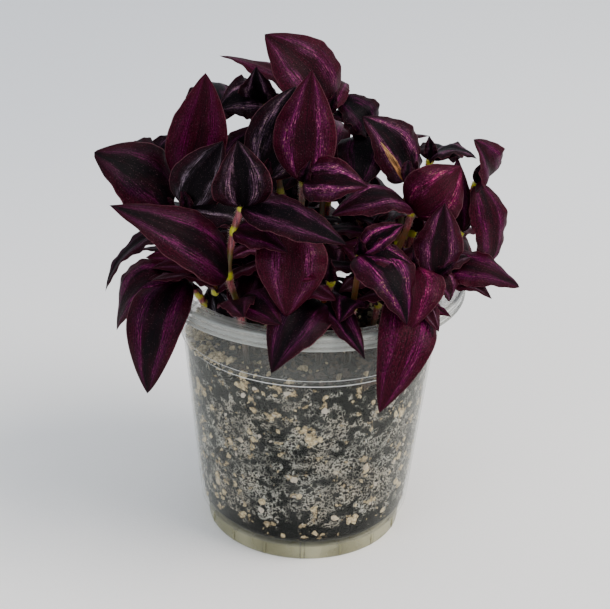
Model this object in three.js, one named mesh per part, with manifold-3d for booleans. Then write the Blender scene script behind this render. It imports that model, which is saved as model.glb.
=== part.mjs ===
// A potted tradescantia: dark purple leafy stems in a clear plant pot.
// Millimetres, +Z up. The origin is on the pot's axis, on the surface it stands on.
import * as THREE from 'three';
import { mergeVertices } from 'three/addons/utils/BufferGeometryUtils.js';
import Module from 'manifold-3d';

const wasm = await Module();
wasm.setup();

// ---- driving dimensions ----
const RIM_R = 65; // outside of the rim's lip
const RIM_Z = 116.4; // top of the rim, which is the pot's height
const LIP_DROP = 6.1; // how far the lip hangs below the top of the rim
const LIP = 1; // thickness of the lip
const WALL = 1.1; // thickness of the wall
const COLLAR_R = 55.9; // wall just under the rim
const STEP_Z = 90.4; // the line round the wall, where the body steps out into the collar
const STEP_OUT = 1.2;
const BODY_TOP_R = 53.6;
const BODY_LOW_R = 47.5; // wall where it starts to round in to the foot
const BODY_LOW_Z = 28;
const FOOT_R = 42.3; // outside of the foot ring
const FOOT_Z = 6.4; // height of the foot ring
const RING = 1.3; // width of the foot ring's flat underside
const ROUND = { r: 45.8, z: 10.4 }; // halfway round from the foot to the body
const FLOOR_Z = 7.4; // top of the pot's floor
const FLOOR = 1.2; // its thickness
const SIDES = 30; // facets round the pot
const GAP = 0.35; // clear space between two pieces
const DRAINS = 6;
const DRAIN = { r: 3.2, at: 27, sides: 8 };

const SOIL_TOP = 90;
const SOIL_EDGE = 87.5; // height of the soil at the wall
const SOIL_CROWN = 1; // how much higher it is in the middle
const SOIL_SIDES = 20;
const CHUNKS = 12; // bits of bark and perlite that stand out of the soil
const CHUNK = { least: 1.6, most: 3.4, nearest: 16, furthest: 46, raised: 0.1 };
const CHUNK_SHAPE = [1.2, 0.9, 0.75];

const STEM_R = 1.4;
const STEM_SIDES = 5;
const HOLE_R = 2.6; // the hole in the soil that a stem stands in
const HOLE_SIDES = 4;
const HOLE_TOP = 98;
const FOOT_DEPTH = 78; // height of a stem's lower end, in its hole
const STEM_Z = 92; // height at which a stem's plan starts, just above the soil

const BLADE = 0.8; // thickness of a leaf
const BLADE_ROWS = [0, 0.12, 0.33, 0.59, 0.84]; // where a leaf is cut across, then its tip
const BLADE_COLS = [-1, 0, 1]; // margin, midrib, margin
const SHEATH = 0.003; // keeps the leaf's base as wide as its stem
const SHOULDER = 0.6; // how round the base is
const TAPER = 1.05; // how drawn out the tip is
const BOW_EARLY = 0.85; // the midrib is most bowed a little before its middle
const CUP = 0.42; // how far each half's margin turns down
const WAVE = 0.5; // height of the waves in the margin
const WAVES = 2.4; // waves along a margin
const NUDGE = 0.01; // step in t and v that a normal is worked out over

const TRIES = { planned: 90, wild: 37 }; // directions that a leaf tries before it is left out
const TRY_STEP = { planned: 2.6, wild: 5 }; // degrees that the tries spread by
const TRY_TURN = 2.4; // radians from one try to the next, so they fill a disc evenly
const STEEPEST = 0.35; // cosine of the pitch past which a try turns no further round

const COLOURS = { pot: '#d9dedf', soil: '#2a2724', leaves: ['#3a1030', '#2b1030', '#4a1238', '#241026'] };

// ---- the stems that show from the front, from the soil up ----
// path: the joints, as x, y, z. leaves: the joint that a leaf grows from (0 is the first), its tip's
// x, y, z, its width, how far its midrib bows, the compass and lift of the way its upper face looks
// (compass 0 is +X and 270 is the front), and how steeply its halves fold up, in degrees.
const FRONT = {
  stem_front: {
    path: [[4, -34, STEM_Z], [5, -38, 118], [8, -42, 130]],
    leaves: [
      [1, -15, -74, 106, 25, 10, 268, 50, 18],
      [1, 21, -73, 113, 13, 6, 280, 50, 20],
    ],
  },
  stem_centre: {
    path: [[-10, -34, STEM_Z], [-9, -37, 122], [-8, -40, 151]],
    leaves: [
      [2, -9, -61, 123, 28, 6, 270, 28, 18],
      [1, 9, -52, 142, 14, 4, 280, 50, 20],
    ],
  },
  stem_front_left: {
    path: [[-25, -36, STEM_Z], [-28, -40, 116], [-32, -43, 132], [-30, -44, 151], [-27, -44, 161]],
    leaves: [
      [2, -75, -62, 167, 25, 9, 275, 50, 22],
      [4, 13, -62, 154, 19, 5, 275, 62, 20],
      [4, -29, -47, 188, 23, 2, 270, 12, 38],
      [3, -9, -56, 148, 13, 3, 270, 55, 22],
      [1, -10, -64, 119, 17, 8, 265, 60, 16],
    ],
  },
  stem_left_low: {
    path: [[-38, -12, STEM_Z], [-46, -16, 111], [-51, -21, 120]],
    leaves: [
      [2, -65, -46, 80, 23, 23, 262, 30, 16],
      [2, -78, -33, 102, 22, 16, 245, 45, 16],
    ],
  },
  stem_left: {
    path: [[-34, -2, STEM_Z], [-44, -3, 120], [-52, -7, 136], [-57, -10, 146]],
    leaves: [
      [3, -86, -24, 174, 31, 5, 255, 50, 18],
      [2, -86, -13, 111, 13, 8, 200, 60, 26],
    ],
  },
  stem_front_right: {
    path: [[16, -32, STEM_Z], [17, -38, 118], [19, -42, 142]],
    leaves: [
      [2, 37, -64, 123, 25, 8, 295, 45, 22],
      [2, 35, -40, 154, 11, 3, 275, 40, 42],
      [2, 39, -50, 141, 12, 4, 280, 45, 34],
      [1, 12, -62, 121, 15, 5, 265, 50, 20],
    ],
  },
  stem_over_rim: {
    path: [[31, -28, STEM_Z], [37, -34, 119], [39, -41, 137]],
    leaves: [
      [2, 38, -62, 119, 25, 6, 278, 40, 26],
      [1, 28, -73, 90, 23, 18, 278, 30, 16],
      [1, 55, -48, 119, 9, 4, 300, 60, 22],
    ],
  },
  stem_wine: {
    path: [[-26, -12, STEM_Z], [-36, -16, 118], [-51, -13, 158]],
    leaves: [
      [2, -43, -15, 204, 24, 2, 275, 12, 24],
      [1, -66, -20, 130, 16, 7, 240, 60, 18],
    ],
  },
  stem_silver: {
    path: [[-31, -24, STEM_Z], [-38, -29, 118], [-49, -32, 155]],
    leaves: [
      [2, -35, -37, 184, 22, 2, 280, 22, 20],
      [2, -24, -34, 150, 20, 5, 265, 55, 18],
      [1, -28, -33, 99, 14, 3, 262, 40, 18],
    ],
  },
  stem_lit: {
    path: [[-5, -22, STEM_Z], [-6, -24, 125], [-4, -26, 165]],
    leaves: [
      [2, -2, -24, 209, 25, -2, 270, 15, 18],
      [2, 20, -38, 169, 20, 4, 272, 42, 22],
    ],
  },
  stem_top: {
    path: [[4, 4, STEM_Z], [4, 5, 125], [4, 6, 160], [5, 6, 183]],
    leaves: [
      [3, -20, 2, 216, 31, 7, 300, 32, 20],
      [3, -41, 36, 197, 16, 6, 270, 78, 16],
      [3, 13, 32, 189, 11, 4, 60, 60, 18],
      [2, 6, 54, 166, 21, 7, 90, 70, 18],
    ],
  },
  stem_behind_lit: {
    path: [[-15, -8, STEM_Z], [-18, -10, 125], [-20, -12, 161]],
    leaves: [
      [2, -10, -9, 199, 28, 2, 250, 14, 16],
      [1, -22, 20, 150, 24, 6, 90, 60, 18],
    ],
  },
  stem_brown: {
    path: [[-10, 12, STEM_Z], [-12, 13, 130], [-18, 14, 173], [-22, 16, 183]],
    leaves: [
      [3, -27, 8, 200, 17, 2, 265, 20, 28],
      [3, -39, 7, 184, 20, 5, 268, 45, 24],
      [2, -30, 57, 168, 21, 7, 100, 70, 18],
      [1, -16, 56, 138, 22, 7, 92, 70, 18],
    ],
  },
  stem_dark: {
    path: [[-22, 6, STEM_Z], [-29, 5, 125], [-38, 4, 160], [-41, 3, 178]],
    leaves: [
      [3, -40, 34, 191, 23, 5, 265, 40, 14],
      [2, -20, -2, 180, 15, 3, 270, 40, 22],
      [1, -58, 24, 143, 24, 7, 120, 65, 18],
      [2, -42, 50, 146, 20, 7, 100, 70, 18],
    ],
  },
  stem_left_back: {
    path: [[-30, 14, STEM_Z], [-42, 16, 120], [-62, 15, 153]],
    leaves: [
      [2, -80, 6, 163, 20, 5, 265, 60, 18],
      [2, -57, 28, 165, 18, 3, 270, 35, 16],
      [1, -76, 34, 128, 24, 9, 130, 60, 18],
    ],
  },
  stem_rose: {
    path: [[26, -12, STEM_Z], [31, -16, 122], [39, -21, 152], [37, -16, 162]],
    leaves: [
      [2, 58, -16, 170, 26, 8, 290, 32, 14],
      [2, 7, -36, 155, 21, 9, 268, 78, 18],
      [3, 26, -10, 177, 8, -2, 280, 20, 40],
      [1, 12, -30, 141, 24, 5, 262, 45, 18],
    ],
  },
  stem_upright_right: {
    path: [[36, -20, STEM_Z], [42, -24, 119], [50, -28, 128]],
    leaves: [
      [2, 51, -31, 160, 21, 2, 285, 22, 18],
      [2, 56, -33, 119, 12, 3, 300, 55, 20],
    ],
  },
  stem_far_right: {
    path: [[40, 2, STEM_Z], [47, 1, 116], [60, 0, 140], [66, -3, 158]],
    leaves: [
      [3, 63, -10, 179, 24, 6, 325, 12, 30],
      [3, 73, -5, 119, 19, 6, 308, 15, 16],
      [1, 76, 26, 126, 24, 9, 60, 60, 18],
    ],
  },
  stem_right_low: {
    path: [[41, -10, STEM_Z], [50, -13, 121], [56, -9, 130], [61, -6, 138]],
    leaves: [
      [1, 84, -24, 126, 20, 9, 300, 55, 20],
      [3, 59, 3, 167, 12, 3, 250, 12, 24],
    ],
  },
  stem_purple: {
    path: [[30, 2, STEM_Z], [34, 4, 120], [40, 6, 157]],
    leaves: [
      [2, 19, 0, 184, 25, 4, 295, 32, 18],
      [2, 31, 26, 169, 18, 5, 75, 50, 18],
    ],
  },
  stem_right_back: {
    path: [[34, 14, STEM_Z], [41, 15, 120], [48, 12, 162]],
    leaves: [
      [2, 67, 6, 161, 17, 4, 330, 65, 20],
      [2, 60, 34, 156, 20, 5, 60, 60, 18],
    ],
  },
  stem_black: {
    path: [[18, 12, STEM_Z], [20, 14, 125], [21, 16, 170]],
    leaves: [
      [2, 8, 18, 187, 20, 8, 285, 50, 20],
      [2, 5, 8, 182, 13, 4, 275, 60, 26],
      [2, 22, -12, 160, 22, 5, 272, 55, 14],
      [2, 33, 54, 156, 21, 7, 72, 70, 18],
      [1, 24, 56, 130, 22, 7, 80, 70, 18],
    ],
  },
};

// ---- the stems at the back, and the small leaves inside ----
// The kind of stem, its foot's compass and distance from the axis, and its crown's compass, distance
// and height.
const BACK = {
  stem_back_a: ['tall', 78, 27, 78, 33, 150],
  stem_back_b: ['tall', 106, 37, 106, 43, 136],
  stem_back_c: ['tall', 134, 31, 132, 38, 146],
  stem_back_d: ['tall', 50, 35, 50, 42, 138],
  stem_back_e: ['low', 146, 43, 146, 50, 122],
  stem_back_f: ['low', 33, 43, 33, 50, 122],
  stem_back_g: ['low', 78, 45, 74, 49, 121],
  stem_back_h: ['low', 118, 45, 114, 49, 120],
};
// The leaves of each kind of stem: joint, way off the crown's compass, rise, length, bow and width as
// shares of the length, and the lift of the way the upper face looks.
const FANS = {
  tall: [
    [3, 12, 42, 46, 0.12, 0.47, 70],
    [3, -80, 18, 44, 0.14, 0.46, 75],
    [2, 66, 8, 43, 0.16, 0.47, 70],
    [2, -22, -8, 42, 0.18, 0.48, 60],
  ],
  low: [
    [3, -4, -42, 43, 0.38, 0.5, 32],
    [3, -62, 12, 40, 0.16, 0.48, 70],
    [3, 58, 6, 40, 0.16, 0.48, 70],
    [2, 100, 20, 36, 0.14, 0.46, 75],
  ],
  inner: [
    [1, 0, 10, 31, 0.12, 0.47, 75],
    [1, 180, 10, 31, 0.12, 0.47, 75],
  ],
};
const STRAY = { turn: 30, rise: 18, long: 0.14 }; // how far these leaves stray from their fan
const WILD_FOLD = 18;
const LEAN = 1.6; // a stem at the back leans out more as it rises
const BACK_JOINTS = [0, 0.45, 0.75, 1]; // their joints, as shares of the way up
const INNER_TURN = 137; // from one stem's inner leaves to the next stem's
const DOME = { x: 84, y: 76, z: 96, from: 98 }; // the crown's outline, which their tips stay inside

// ---- helpers ----
const rad = THREE.MathUtils.degToRad;
const vec = (p) => new THREE.Vector3(p[0], p[1], p[2]);

// The unit vector that looks along a compass direction, raised by a lift.
const look = (compass, lift) => new THREE.Vector3(
  Math.cos(rad(compass)) * Math.cos(rad(lift)),
  Math.sin(rad(compass)) * Math.cos(rad(lift)),
  Math.sin(rad(lift)),
);

// A small repeatable random number from 0 to 1.
function makeRandom(seed) {
  let state = seed;
  return () => {
    state = (state * 16807) % 2147483647;
    return state / 2147483647;
  };
}

// Welds a geometry's vertices, drops triangles with no area and makes it a solid.
function solid(geometry) {
  geometry.deleteAttribute('normal');
  geometry.deleteAttribute('uv');
  const welded = mergeVertices(geometry, 1e-4);
  const index = [];
  for (let i = 0; i < welded.index.count; i += 3) {
    const [a, b, c] = [0, 1, 2].map((k) => welded.index.getX(i + k));
    if (a !== b && b !== c && c !== a) index.push(a, b, c);
  }
  const mesh = new wasm.Mesh({
    numProp: 3,
    vertProperties: new Float32Array(welded.attributes.position.array),
    triVerts: new Uint32Array(index),
  });
  return new wasm.Manifold(mesh);
}

// Joins pieces and keeps the outer surface only, which fills any hollow that joining them seals.
function joined(pieces) {
  const surfaces = wasm.Manifold.union(pieces).decompose();
  return surfaces.sort((a, b) => b.volume() - a.volume())[0];
}

function toMesh(name, body, colour, extra = {}) {
  const mesh = body.getMesh();
  const geometry = new THREE.BufferGeometry();
  geometry.setAttribute('position', new THREE.BufferAttribute(new Float32Array(mesh.vertProperties), 3));
  geometry.setIndex(new THREE.BufferAttribute(new Uint32Array(mesh.triVerts), 1));
  geometry.computeVertexNormals();
  const material = new THREE.MeshStandardMaterial({ color: colour, roughness: 0.5, metalness: 0, ...extra });
  const node = new THREE.Mesh(geometry, material);
  node.name = name;
  return node;
}

// Turns a profile of [radius, height] round the pot's axis.
function turned(profile, sides) {
  const lathe = new THREE.LatheGeometry(profile.map(([r, z]) => new THREE.Vector2(r, z)), sides);
  return lathe.rotateX(Math.PI / 2);
}

// ---- the pot ----
// Its wall from the floor's underside, round the foot, up the outside, over the rim and down inside.
function makePot() {
  const lipR = RIM_R - LIP;
  const profile = [
    [0, FLOOR_Z - FLOOR],
    [FOOT_R - RING, FLOOR_Z - FLOOR],
    [FOOT_R - RING, 0],
    [FOOT_R, 0],
    [FOOT_R + 0.2, FOOT_Z],
    [ROUND.r, ROUND.z],
    [BODY_LOW_R, BODY_LOW_Z],
    [BODY_TOP_R, STEP_Z - STEP_OUT],
    [BODY_TOP_R + STEP_OUT, STEP_Z],
    [COLLAR_R, RIM_Z - 2],
    [lipR, RIM_Z - 1.7],
    [lipR, RIM_Z - LIP_DROP],
    [RIM_R, RIM_Z - LIP_DROP],
    [RIM_R, RIM_Z - 0.6],
    [RIM_R - 0.6, RIM_Z],
    [COLLAR_R + 0.4, RIM_Z - 0.8],
    [COLLAR_R - WALL + 0.1, RIM_Z - 1.8],
    [BODY_TOP_R + STEP_OUT - WALL + 0.1, STEP_Z + 0.8],
    [BODY_TOP_R - WALL + 0.1, STEP_Z - 0.4],
    [BODY_LOW_R - WALL, BODY_LOW_Z + 0.4],
    [ROUND.r - 1.2, ROUND.z + 0.8],
    [FOOT_R - RING, FLOOR_Z],
    [0, FLOOR_Z],
  ];
  const drains = [];
  for (let i = 0; i < DRAINS; i += 1) {
    const drain = new THREE.CylinderGeometry(DRAIN.r, DRAIN.r, 5 * FLOOR, DRAIN.sides).rotateX(Math.PI / 2);
    drain.translate(DRAIN.at, 0, FLOOR_Z);
    drains.push(solid(drain.rotateZ(rad((i * 360) / DRAINS))));
  }
  return solid(turned(profile, SIDES)).subtract(wasm.Manifold.union(drains));
}

// ---- a stem ----
function polygon(radius, sides) {
  const shape = new THREE.Shape();
  for (let i = 0; i < sides; i += 1) {
    const a = (i * 2 * Math.PI) / sides;
    shape[i ? 'lineTo' : 'moveTo'](radius * Math.cos(a), radius * Math.sin(a));
  }
  return shape;
}

function rod(radius, sides, extrudePath, steps) {
  const options = { steps, extrudePath, bevelEnabled: false };
  return solid(new THREE.ExtrudeGeometry(polygon(radius, sides), options));
}

// A stem from its foot, down in its hole, through its joints.
function makeStem(path) {
  const points = [vec(path[0]).setZ(FOOT_DEPTH), ...path.map(vec)];
  const line = new THREE.CatmullRomCurve3(points, false, 'centripetal');
  return rod(STEM_R, STEM_SIDES, line, path.length + 2);
}

// ---- a leaf ----
// leaf: root, toward (unit vector to the tip), long, wide, bow, face (where its upper side looks),
// fold (in degrees) and seed, which sets the waves of its margin.
function leafFrame(leaf) {
  const along = leaf.toward;
  const up = leaf.face.clone().addScaledVector(along, -leaf.face.dot(along)).normalize();
  const side = new THREE.Vector3().crossVectors(up, along);
  return { along, up, side };
}

// The blade's half width along it, as a share of its most.
const outline = (t) => (t + SHEATH) ** SHOULDER * (1 - t) ** TAPER;
const WIDEST = outline((SHOULDER - TAPER * SHEATH) / (SHOULDER + TAPER));
const halfWidth = (t) => outline(t) / WIDEST;

// A point on the middle of the blade: t runs from base to tip, v from margin to margin.
function bladePoint(leaf, frame, t, v) {
  const half = (leaf.wide / 2) * halfWidth(t);
  const bow = leaf.bow * Math.sin(Math.PI * t ** BOW_EARLY);
  const lift = half * (Math.tan(rad(leaf.fold)) * Math.abs(v) - CUP * v * v);
  const calm = Math.min(1, 4 * t * (1 - t)); // no waves at the base and the tip
  const wave = WAVE * calm * v * v * Math.sin(2 * Math.PI * WAVES * t + leaf.seed + Math.sign(v));
  return leaf.root.clone()
    .addScaledVector(frame.along, leaf.long * t)
    .addScaledVector(frame.side, half * v)
    .addScaledVector(frame.up, bow + lift + wave);
}

function bladeNormal(leaf, frame, t, v) {
  const t0 = Math.max(0, t - NUDGE);
  const t1 = Math.min(0.999, t + NUDGE);
  const v0 = Math.max(-1, v - NUDGE);
  const v1 = Math.min(1, v + NUDGE);
  const alongT = bladePoint(leaf, frame, t1, v).sub(bladePoint(leaf, frame, t0, v));
  const alongV = bladePoint(leaf, frame, t, v1).sub(bladePoint(leaf, frame, t, v0));
  return alongT.cross(alongV).normalize();
}

// The closed blade: an upper and a lower skin, split into triangles alike, and the margin between them.
function makeBlade(leaf) {
  const frame = leafFrame(leaf);
  const cols = BLADE_COLS.length;
  const rows = BLADE_ROWS.length;
  const skins = [0.5, -0.5].map((side) => {
    const points = [];
    for (const t of BLADE_ROWS) {
      for (const v of BLADE_COLS) {
        const normal = bladeNormal(leaf, frame, t, v);
        points.push(bladePoint(leaf, frame, t, v).addScaledVector(normal, side * BLADE));
      }
    }
    return points;
  });
  const tip = bladePoint(leaf, frame, 1, 0);
  const points = [...skins[0], ...skins[1], tip];
  const under = rows * cols;
  const last = points.length - 1;
  const index = [];
  const face = (a, b, c) => index.push(a, b, c, under + a, under + c, under + b);
  for (let r = 0; r < rows - 1; r += 1) {
    for (let c = 0; c < cols - 1; c += 1) {
      const a = r * cols + c;
      const cut = c < cols / 2 - 1;
      if (cut) {
        face(a, a + cols, a + 1);
        face(a + 1, a + cols, a + cols + 1);
      } else {
        face(a, a + cols, a + cols + 1);
        face(a, a + cols + 1, a + 1);
      }
    }
  }
  const end = (rows - 1) * cols;
  for (let c = 0; c < cols - 1; c += 1) {
    index.push(end + c, last, end + c + 1, under + end + c, under + end + c + 1, last);
    index.push(c, c + 1, under + c, c + 1, under + c + 1, under + c);
  }
  for (let r = 0; r < rows - 1; r += 1) {
    const left = r * cols;
    const right = left + cols - 1;
    index.push(left, under + left, left + cols, left + cols, under + left, under + left + cols);
    index.push(right, right + cols, under + right, right + cols, under + right + cols, under + right);
  }
  index.push(end, under + end, last, end + cols - 1, last, under + end + cols - 1);
  const geometry = new THREE.BufferGeometry();
  const flat = new Float32Array(points.flatMap((p) => [p.x, p.y, p.z]));
  geometry.setAttribute('position', new THREE.BufferAttribute(flat, 3));
  geometry.setIndex(index);
  return solid(geometry);
}

// The k-th direction that a leaf tries: its own first, then others on a growing spiral round it.
function tryDirection(leaf, k) {
  const compass = Math.atan2(leaf.aim.y, leaf.aim.x);
  const pitch = Math.asin(leaf.aim.z);
  const spread = rad(TRY_STEP[leaf.kind] * Math.sqrt(k));
  const turn = compass + (spread * Math.cos(TRY_TURN * k)) / Math.max(STEEPEST, Math.cos(pitch));
  const rise = pitch + spread * Math.sin(TRY_TURN * k);
  return look(THREE.MathUtils.radToDeg(turn), THREE.MathUtils.radToDeg(rise));
}

// ---- the plan of the plant ----
function frontStem({ path, leaves }, seed) {
  return {
    path,
    leaves: leaves.map(([joint, x, y, z, wide, bow, compass, lift, fold], i) => {
      const root = vec(path[joint]);
      const span = new THREE.Vector3(x, y, z).sub(root);
      const long = span.length();
      const face = look(compass, lift);
      return { kind: 'planned', root, aim: span.normalize(), long, wide, bow, face, fold, seed: seed + i };
    }),
  };
}

// The leaves of a fan round a stem, each strayed a little from its own way.
function fanLeaves(fan, path, heading, seed) {
  const random = makeRandom(1000 + 37 * seed);
  const stray = (by) => by * (random() - 0.5);
  return FANS[fan].map(([joint, turn, rise, length, bow, stout, lift], i) => {
    const compass = heading + turn + stray(STRAY.turn);
    const aim = look(compass, rise + stray(STRAY.rise));
    const long = length * (1 + stray(STRAY.long));
    return {
      kind: 'wild',
      root: vec(path[joint]),
      aim,
      long,
      wide: long * stout,
      bow: long * bow,
      face: look(compass, lift),
      fold: WILD_FOLD,
      seed: seed + i,
    };
  });
}

function backPath([, footAt, footR, crownAt, crownR, crownZ]) {
  const foot = look(footAt, 0).multiplyScalar(footR).setZ(STEM_Z);
  const crown = look(crownAt, 0).multiplyScalar(crownR).setZ(crownZ);
  return BACK_JOINTS.map((share) => {
    const height = foot.z + (crown.z - foot.z) * share;
    return foot.clone().lerp(crown, share ** LEAN).setZ(height).toArray();
  });
}

// ---- the soil ----
// How far the soil's lumps raise its surface over a point.
function soilRelief(x, y) {
  return 0.9 * Math.sin(0.31 * x + 1.3) * Math.sin(0.37 * y) + 0.6 * Math.sin(0.8 * x - 0.55 * y);
}

function makeSoil(stems) {
  const inside = WALL + 2 * GAP;
  const profile = [
    [0, FLOOR_Z + GAP],
    [FOOT_R - RING - 0.3, FLOOR_Z + GAP],
    [ROUND.r - inside, ROUND.z + 1.4],
    [BODY_LOW_R - inside, BODY_LOW_Z + 0.6],
    [BODY_TOP_R - inside, SOIL_EDGE],
    [47, SOIL_TOP - 0.5],
    [37, SOIL_TOP],
    [24, SOIL_TOP + 0.7 * SOIL_CROWN],
    [11, SOIL_TOP + SOIL_CROWN],
    [0, SOIL_TOP + SOIL_CROWN],
  ];
  const lathe = turned(profile, SOIL_SIDES);
  const position = lathe.attributes.position;
  for (let i = 0; i < position.count; i += 1) {
    const [x, y, z] = [position.getX(i), position.getY(i), position.getZ(i)];
    if (z > SOIL_EDGE + GAP) position.setZ(i, z + soilRelief(x, y));
  }
  const random = makeRandom(77);
  const chunks = [];
  while (chunks.length < CHUNKS) {
    const at = 360 * random();
    const away = CHUNK.nearest + (CHUNK.furthest - CHUNK.nearest) * Math.sqrt(random());
    const r = CHUNK.least + (CHUNK.most - CHUNK.least) * random() ** 2;
    const spin = 3 * random();
    const spot = look(at, 0).multiplyScalar(away);
    const room = r + HOLE_R + 2 * GAP;
    if (stems.every(({ path }) => Math.hypot(path[0][0] - spot.x, path[0][1] - spot.y) > room)) {
      const lump = new THREE.IcosahedronGeometry(r, 0).rotateX(spin).scale(...CHUNK_SHAPE).rotateZ(2 * spin);
      lump.translate(spot.x, spot.y, SOIL_TOP + soilRelief(spot.x, spot.y) + CHUNK.raised * r);
      chunks.push(solid(lump));
    }
  }
  const holes = stems.map(({ path }) => {
    const [foot, top] = [FOOT_DEPTH - 2 * GAP, HOLE_TOP].map((z) => vec(path[0]).setZ(z));
    return rod(HOLE_R, HOLE_SIDES, new THREE.LineCurve3(foot, top), 1);
  });
  return solid(lathe).add(wasm.Manifold.union(chunks)).subtract(wasm.Manifold.union(holes));
}

// ---- the plant ----
// Whether a leaf's tip is inside the crown's outline, which is squarer from front to back.
function insideDome(tip) {
  const rise = Math.max(0, tip.z - DOME.from);
  return (tip.x / DOME.x) ** 2 + Math.abs(tip.y / DOME.y) ** 3 + (rise / DOME.z) ** 2 < 1;
}

// Grows every leaf in turn, the inner ones last. A leaf that would touch another stem or its leaves,
// the pot or the soil tries the directions round its own, and is left out if none has room.
function growPlant(stems, fixed) {
  const grown = stems.map(({ path }) => [makeStem(path)]);
  for (const round of ['leaves', 'inner']) {
    stems.forEach((stem, at) => {
      const others = grown.filter((_, other) => other !== at).flat();
      for (const leaf of stem[round]) {
        for (let k = 0; k < TRIES[leaf.kind]; k += 1) {
          const toward = tryDirection(leaf, k);
          const tip = leaf.root.clone().addScaledVector(toward, leaf.long);
          if (leaf.kind === 'planned' || insideDome(tip)) {
            const blade = makeBlade({ ...leaf, toward });
            const clear = (piece) => blade.minGap(piece, 2 * GAP) > GAP;
            if (fixed.every(clear) && others.every(clear)) {
              grown[at].push(blade);
              leaf.took = k;
              break;
            }
          }
        }
      }
    });
  }
  return grown;
}

const plan = [];
Object.entries(FRONT).forEach(([name, rows], i) => {
  const inner = fanLeaves('inner', rows.path, INNER_TURN * i, 300 + 10 * i);
  plan.push({ name, ...frontStem(rows, 10 * i), inner });
});
Object.entries(BACK).forEach(([name, row], i) => {
  const path = backPath(row);
  plan.push({ name, path, leaves: fanLeaves(row[0], path, row[3], 500 + 10 * i), inner: [] });
});

const pot = makePot();
const soil = makeSoil(plan);
const grown = growPlant(plan, [pot, soil]);

const group = new THREE.Group();
group.add(toMesh('pot', pot, COLOURS.pot, { transparent: true, opacity: 0.35, roughness: 0.2 }));
group.add(toMesh('soil', soil, COLOURS.soil, { roughness: 0.95 }));
grown.forEach((pieces, i) => {
  const colour = COLOURS.leaves[i % COLOURS.leaves.length];
  group.add(toMesh(plan[i].name, joined(pieces), colour, { roughness: 0.38 }));
});

export default group;
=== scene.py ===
# %% [markdown]
# # A potted tradescantia
# The plant is a bush of dark purple leafy stems in a clear plant pot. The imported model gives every
# piece its place and size. This lesson dresses it: each leafy stem is grown again with fine blades,
# the pot gets its rounded rim, ribs and clear plastic, and the soil gets its bark, perlite and dried
# mineral. Lengths in the tables are millimetres, as one would note them at the plant, and everything
# that goes into Blender is in metres.

# %% The frame
import math
from math import cos, pi, radians, sin

import bpy
import numpy as np
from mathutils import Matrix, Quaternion, Vector
from mathutils.kdtree import KDTree


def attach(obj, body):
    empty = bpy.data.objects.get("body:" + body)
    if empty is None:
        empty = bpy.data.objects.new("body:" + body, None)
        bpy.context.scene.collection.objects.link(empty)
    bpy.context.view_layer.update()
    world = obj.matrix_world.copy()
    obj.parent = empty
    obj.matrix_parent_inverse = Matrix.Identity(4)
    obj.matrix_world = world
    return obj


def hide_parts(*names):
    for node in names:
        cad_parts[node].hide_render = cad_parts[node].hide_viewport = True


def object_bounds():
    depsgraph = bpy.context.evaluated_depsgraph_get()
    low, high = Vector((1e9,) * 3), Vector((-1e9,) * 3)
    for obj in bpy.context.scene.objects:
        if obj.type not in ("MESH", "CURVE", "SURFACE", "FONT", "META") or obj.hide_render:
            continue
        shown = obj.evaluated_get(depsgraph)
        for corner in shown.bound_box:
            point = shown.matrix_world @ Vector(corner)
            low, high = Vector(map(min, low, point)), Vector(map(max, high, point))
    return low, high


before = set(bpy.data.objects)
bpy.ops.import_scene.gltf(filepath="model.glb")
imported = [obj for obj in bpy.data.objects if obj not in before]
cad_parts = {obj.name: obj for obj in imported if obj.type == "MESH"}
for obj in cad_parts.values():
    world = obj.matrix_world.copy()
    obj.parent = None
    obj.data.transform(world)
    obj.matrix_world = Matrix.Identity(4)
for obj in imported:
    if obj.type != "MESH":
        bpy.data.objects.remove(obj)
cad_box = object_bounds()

MM = 0.001
ROOT = "root"
print("CAD nodes:", len(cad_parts), "box:", cad_box)

# %% [markdown]
# ## Wiring with plain expressions
# Materials and Geometry Nodes are both made of small maths nodes. Adding them by hand is slow to
# read, so a wire here is a socket that Python's own operators work on: `a * b + 1` adds two Math
# nodes and joins them. Every other node comes from one method, which takes the node's type, its
# settings and the values of its sockets.

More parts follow.
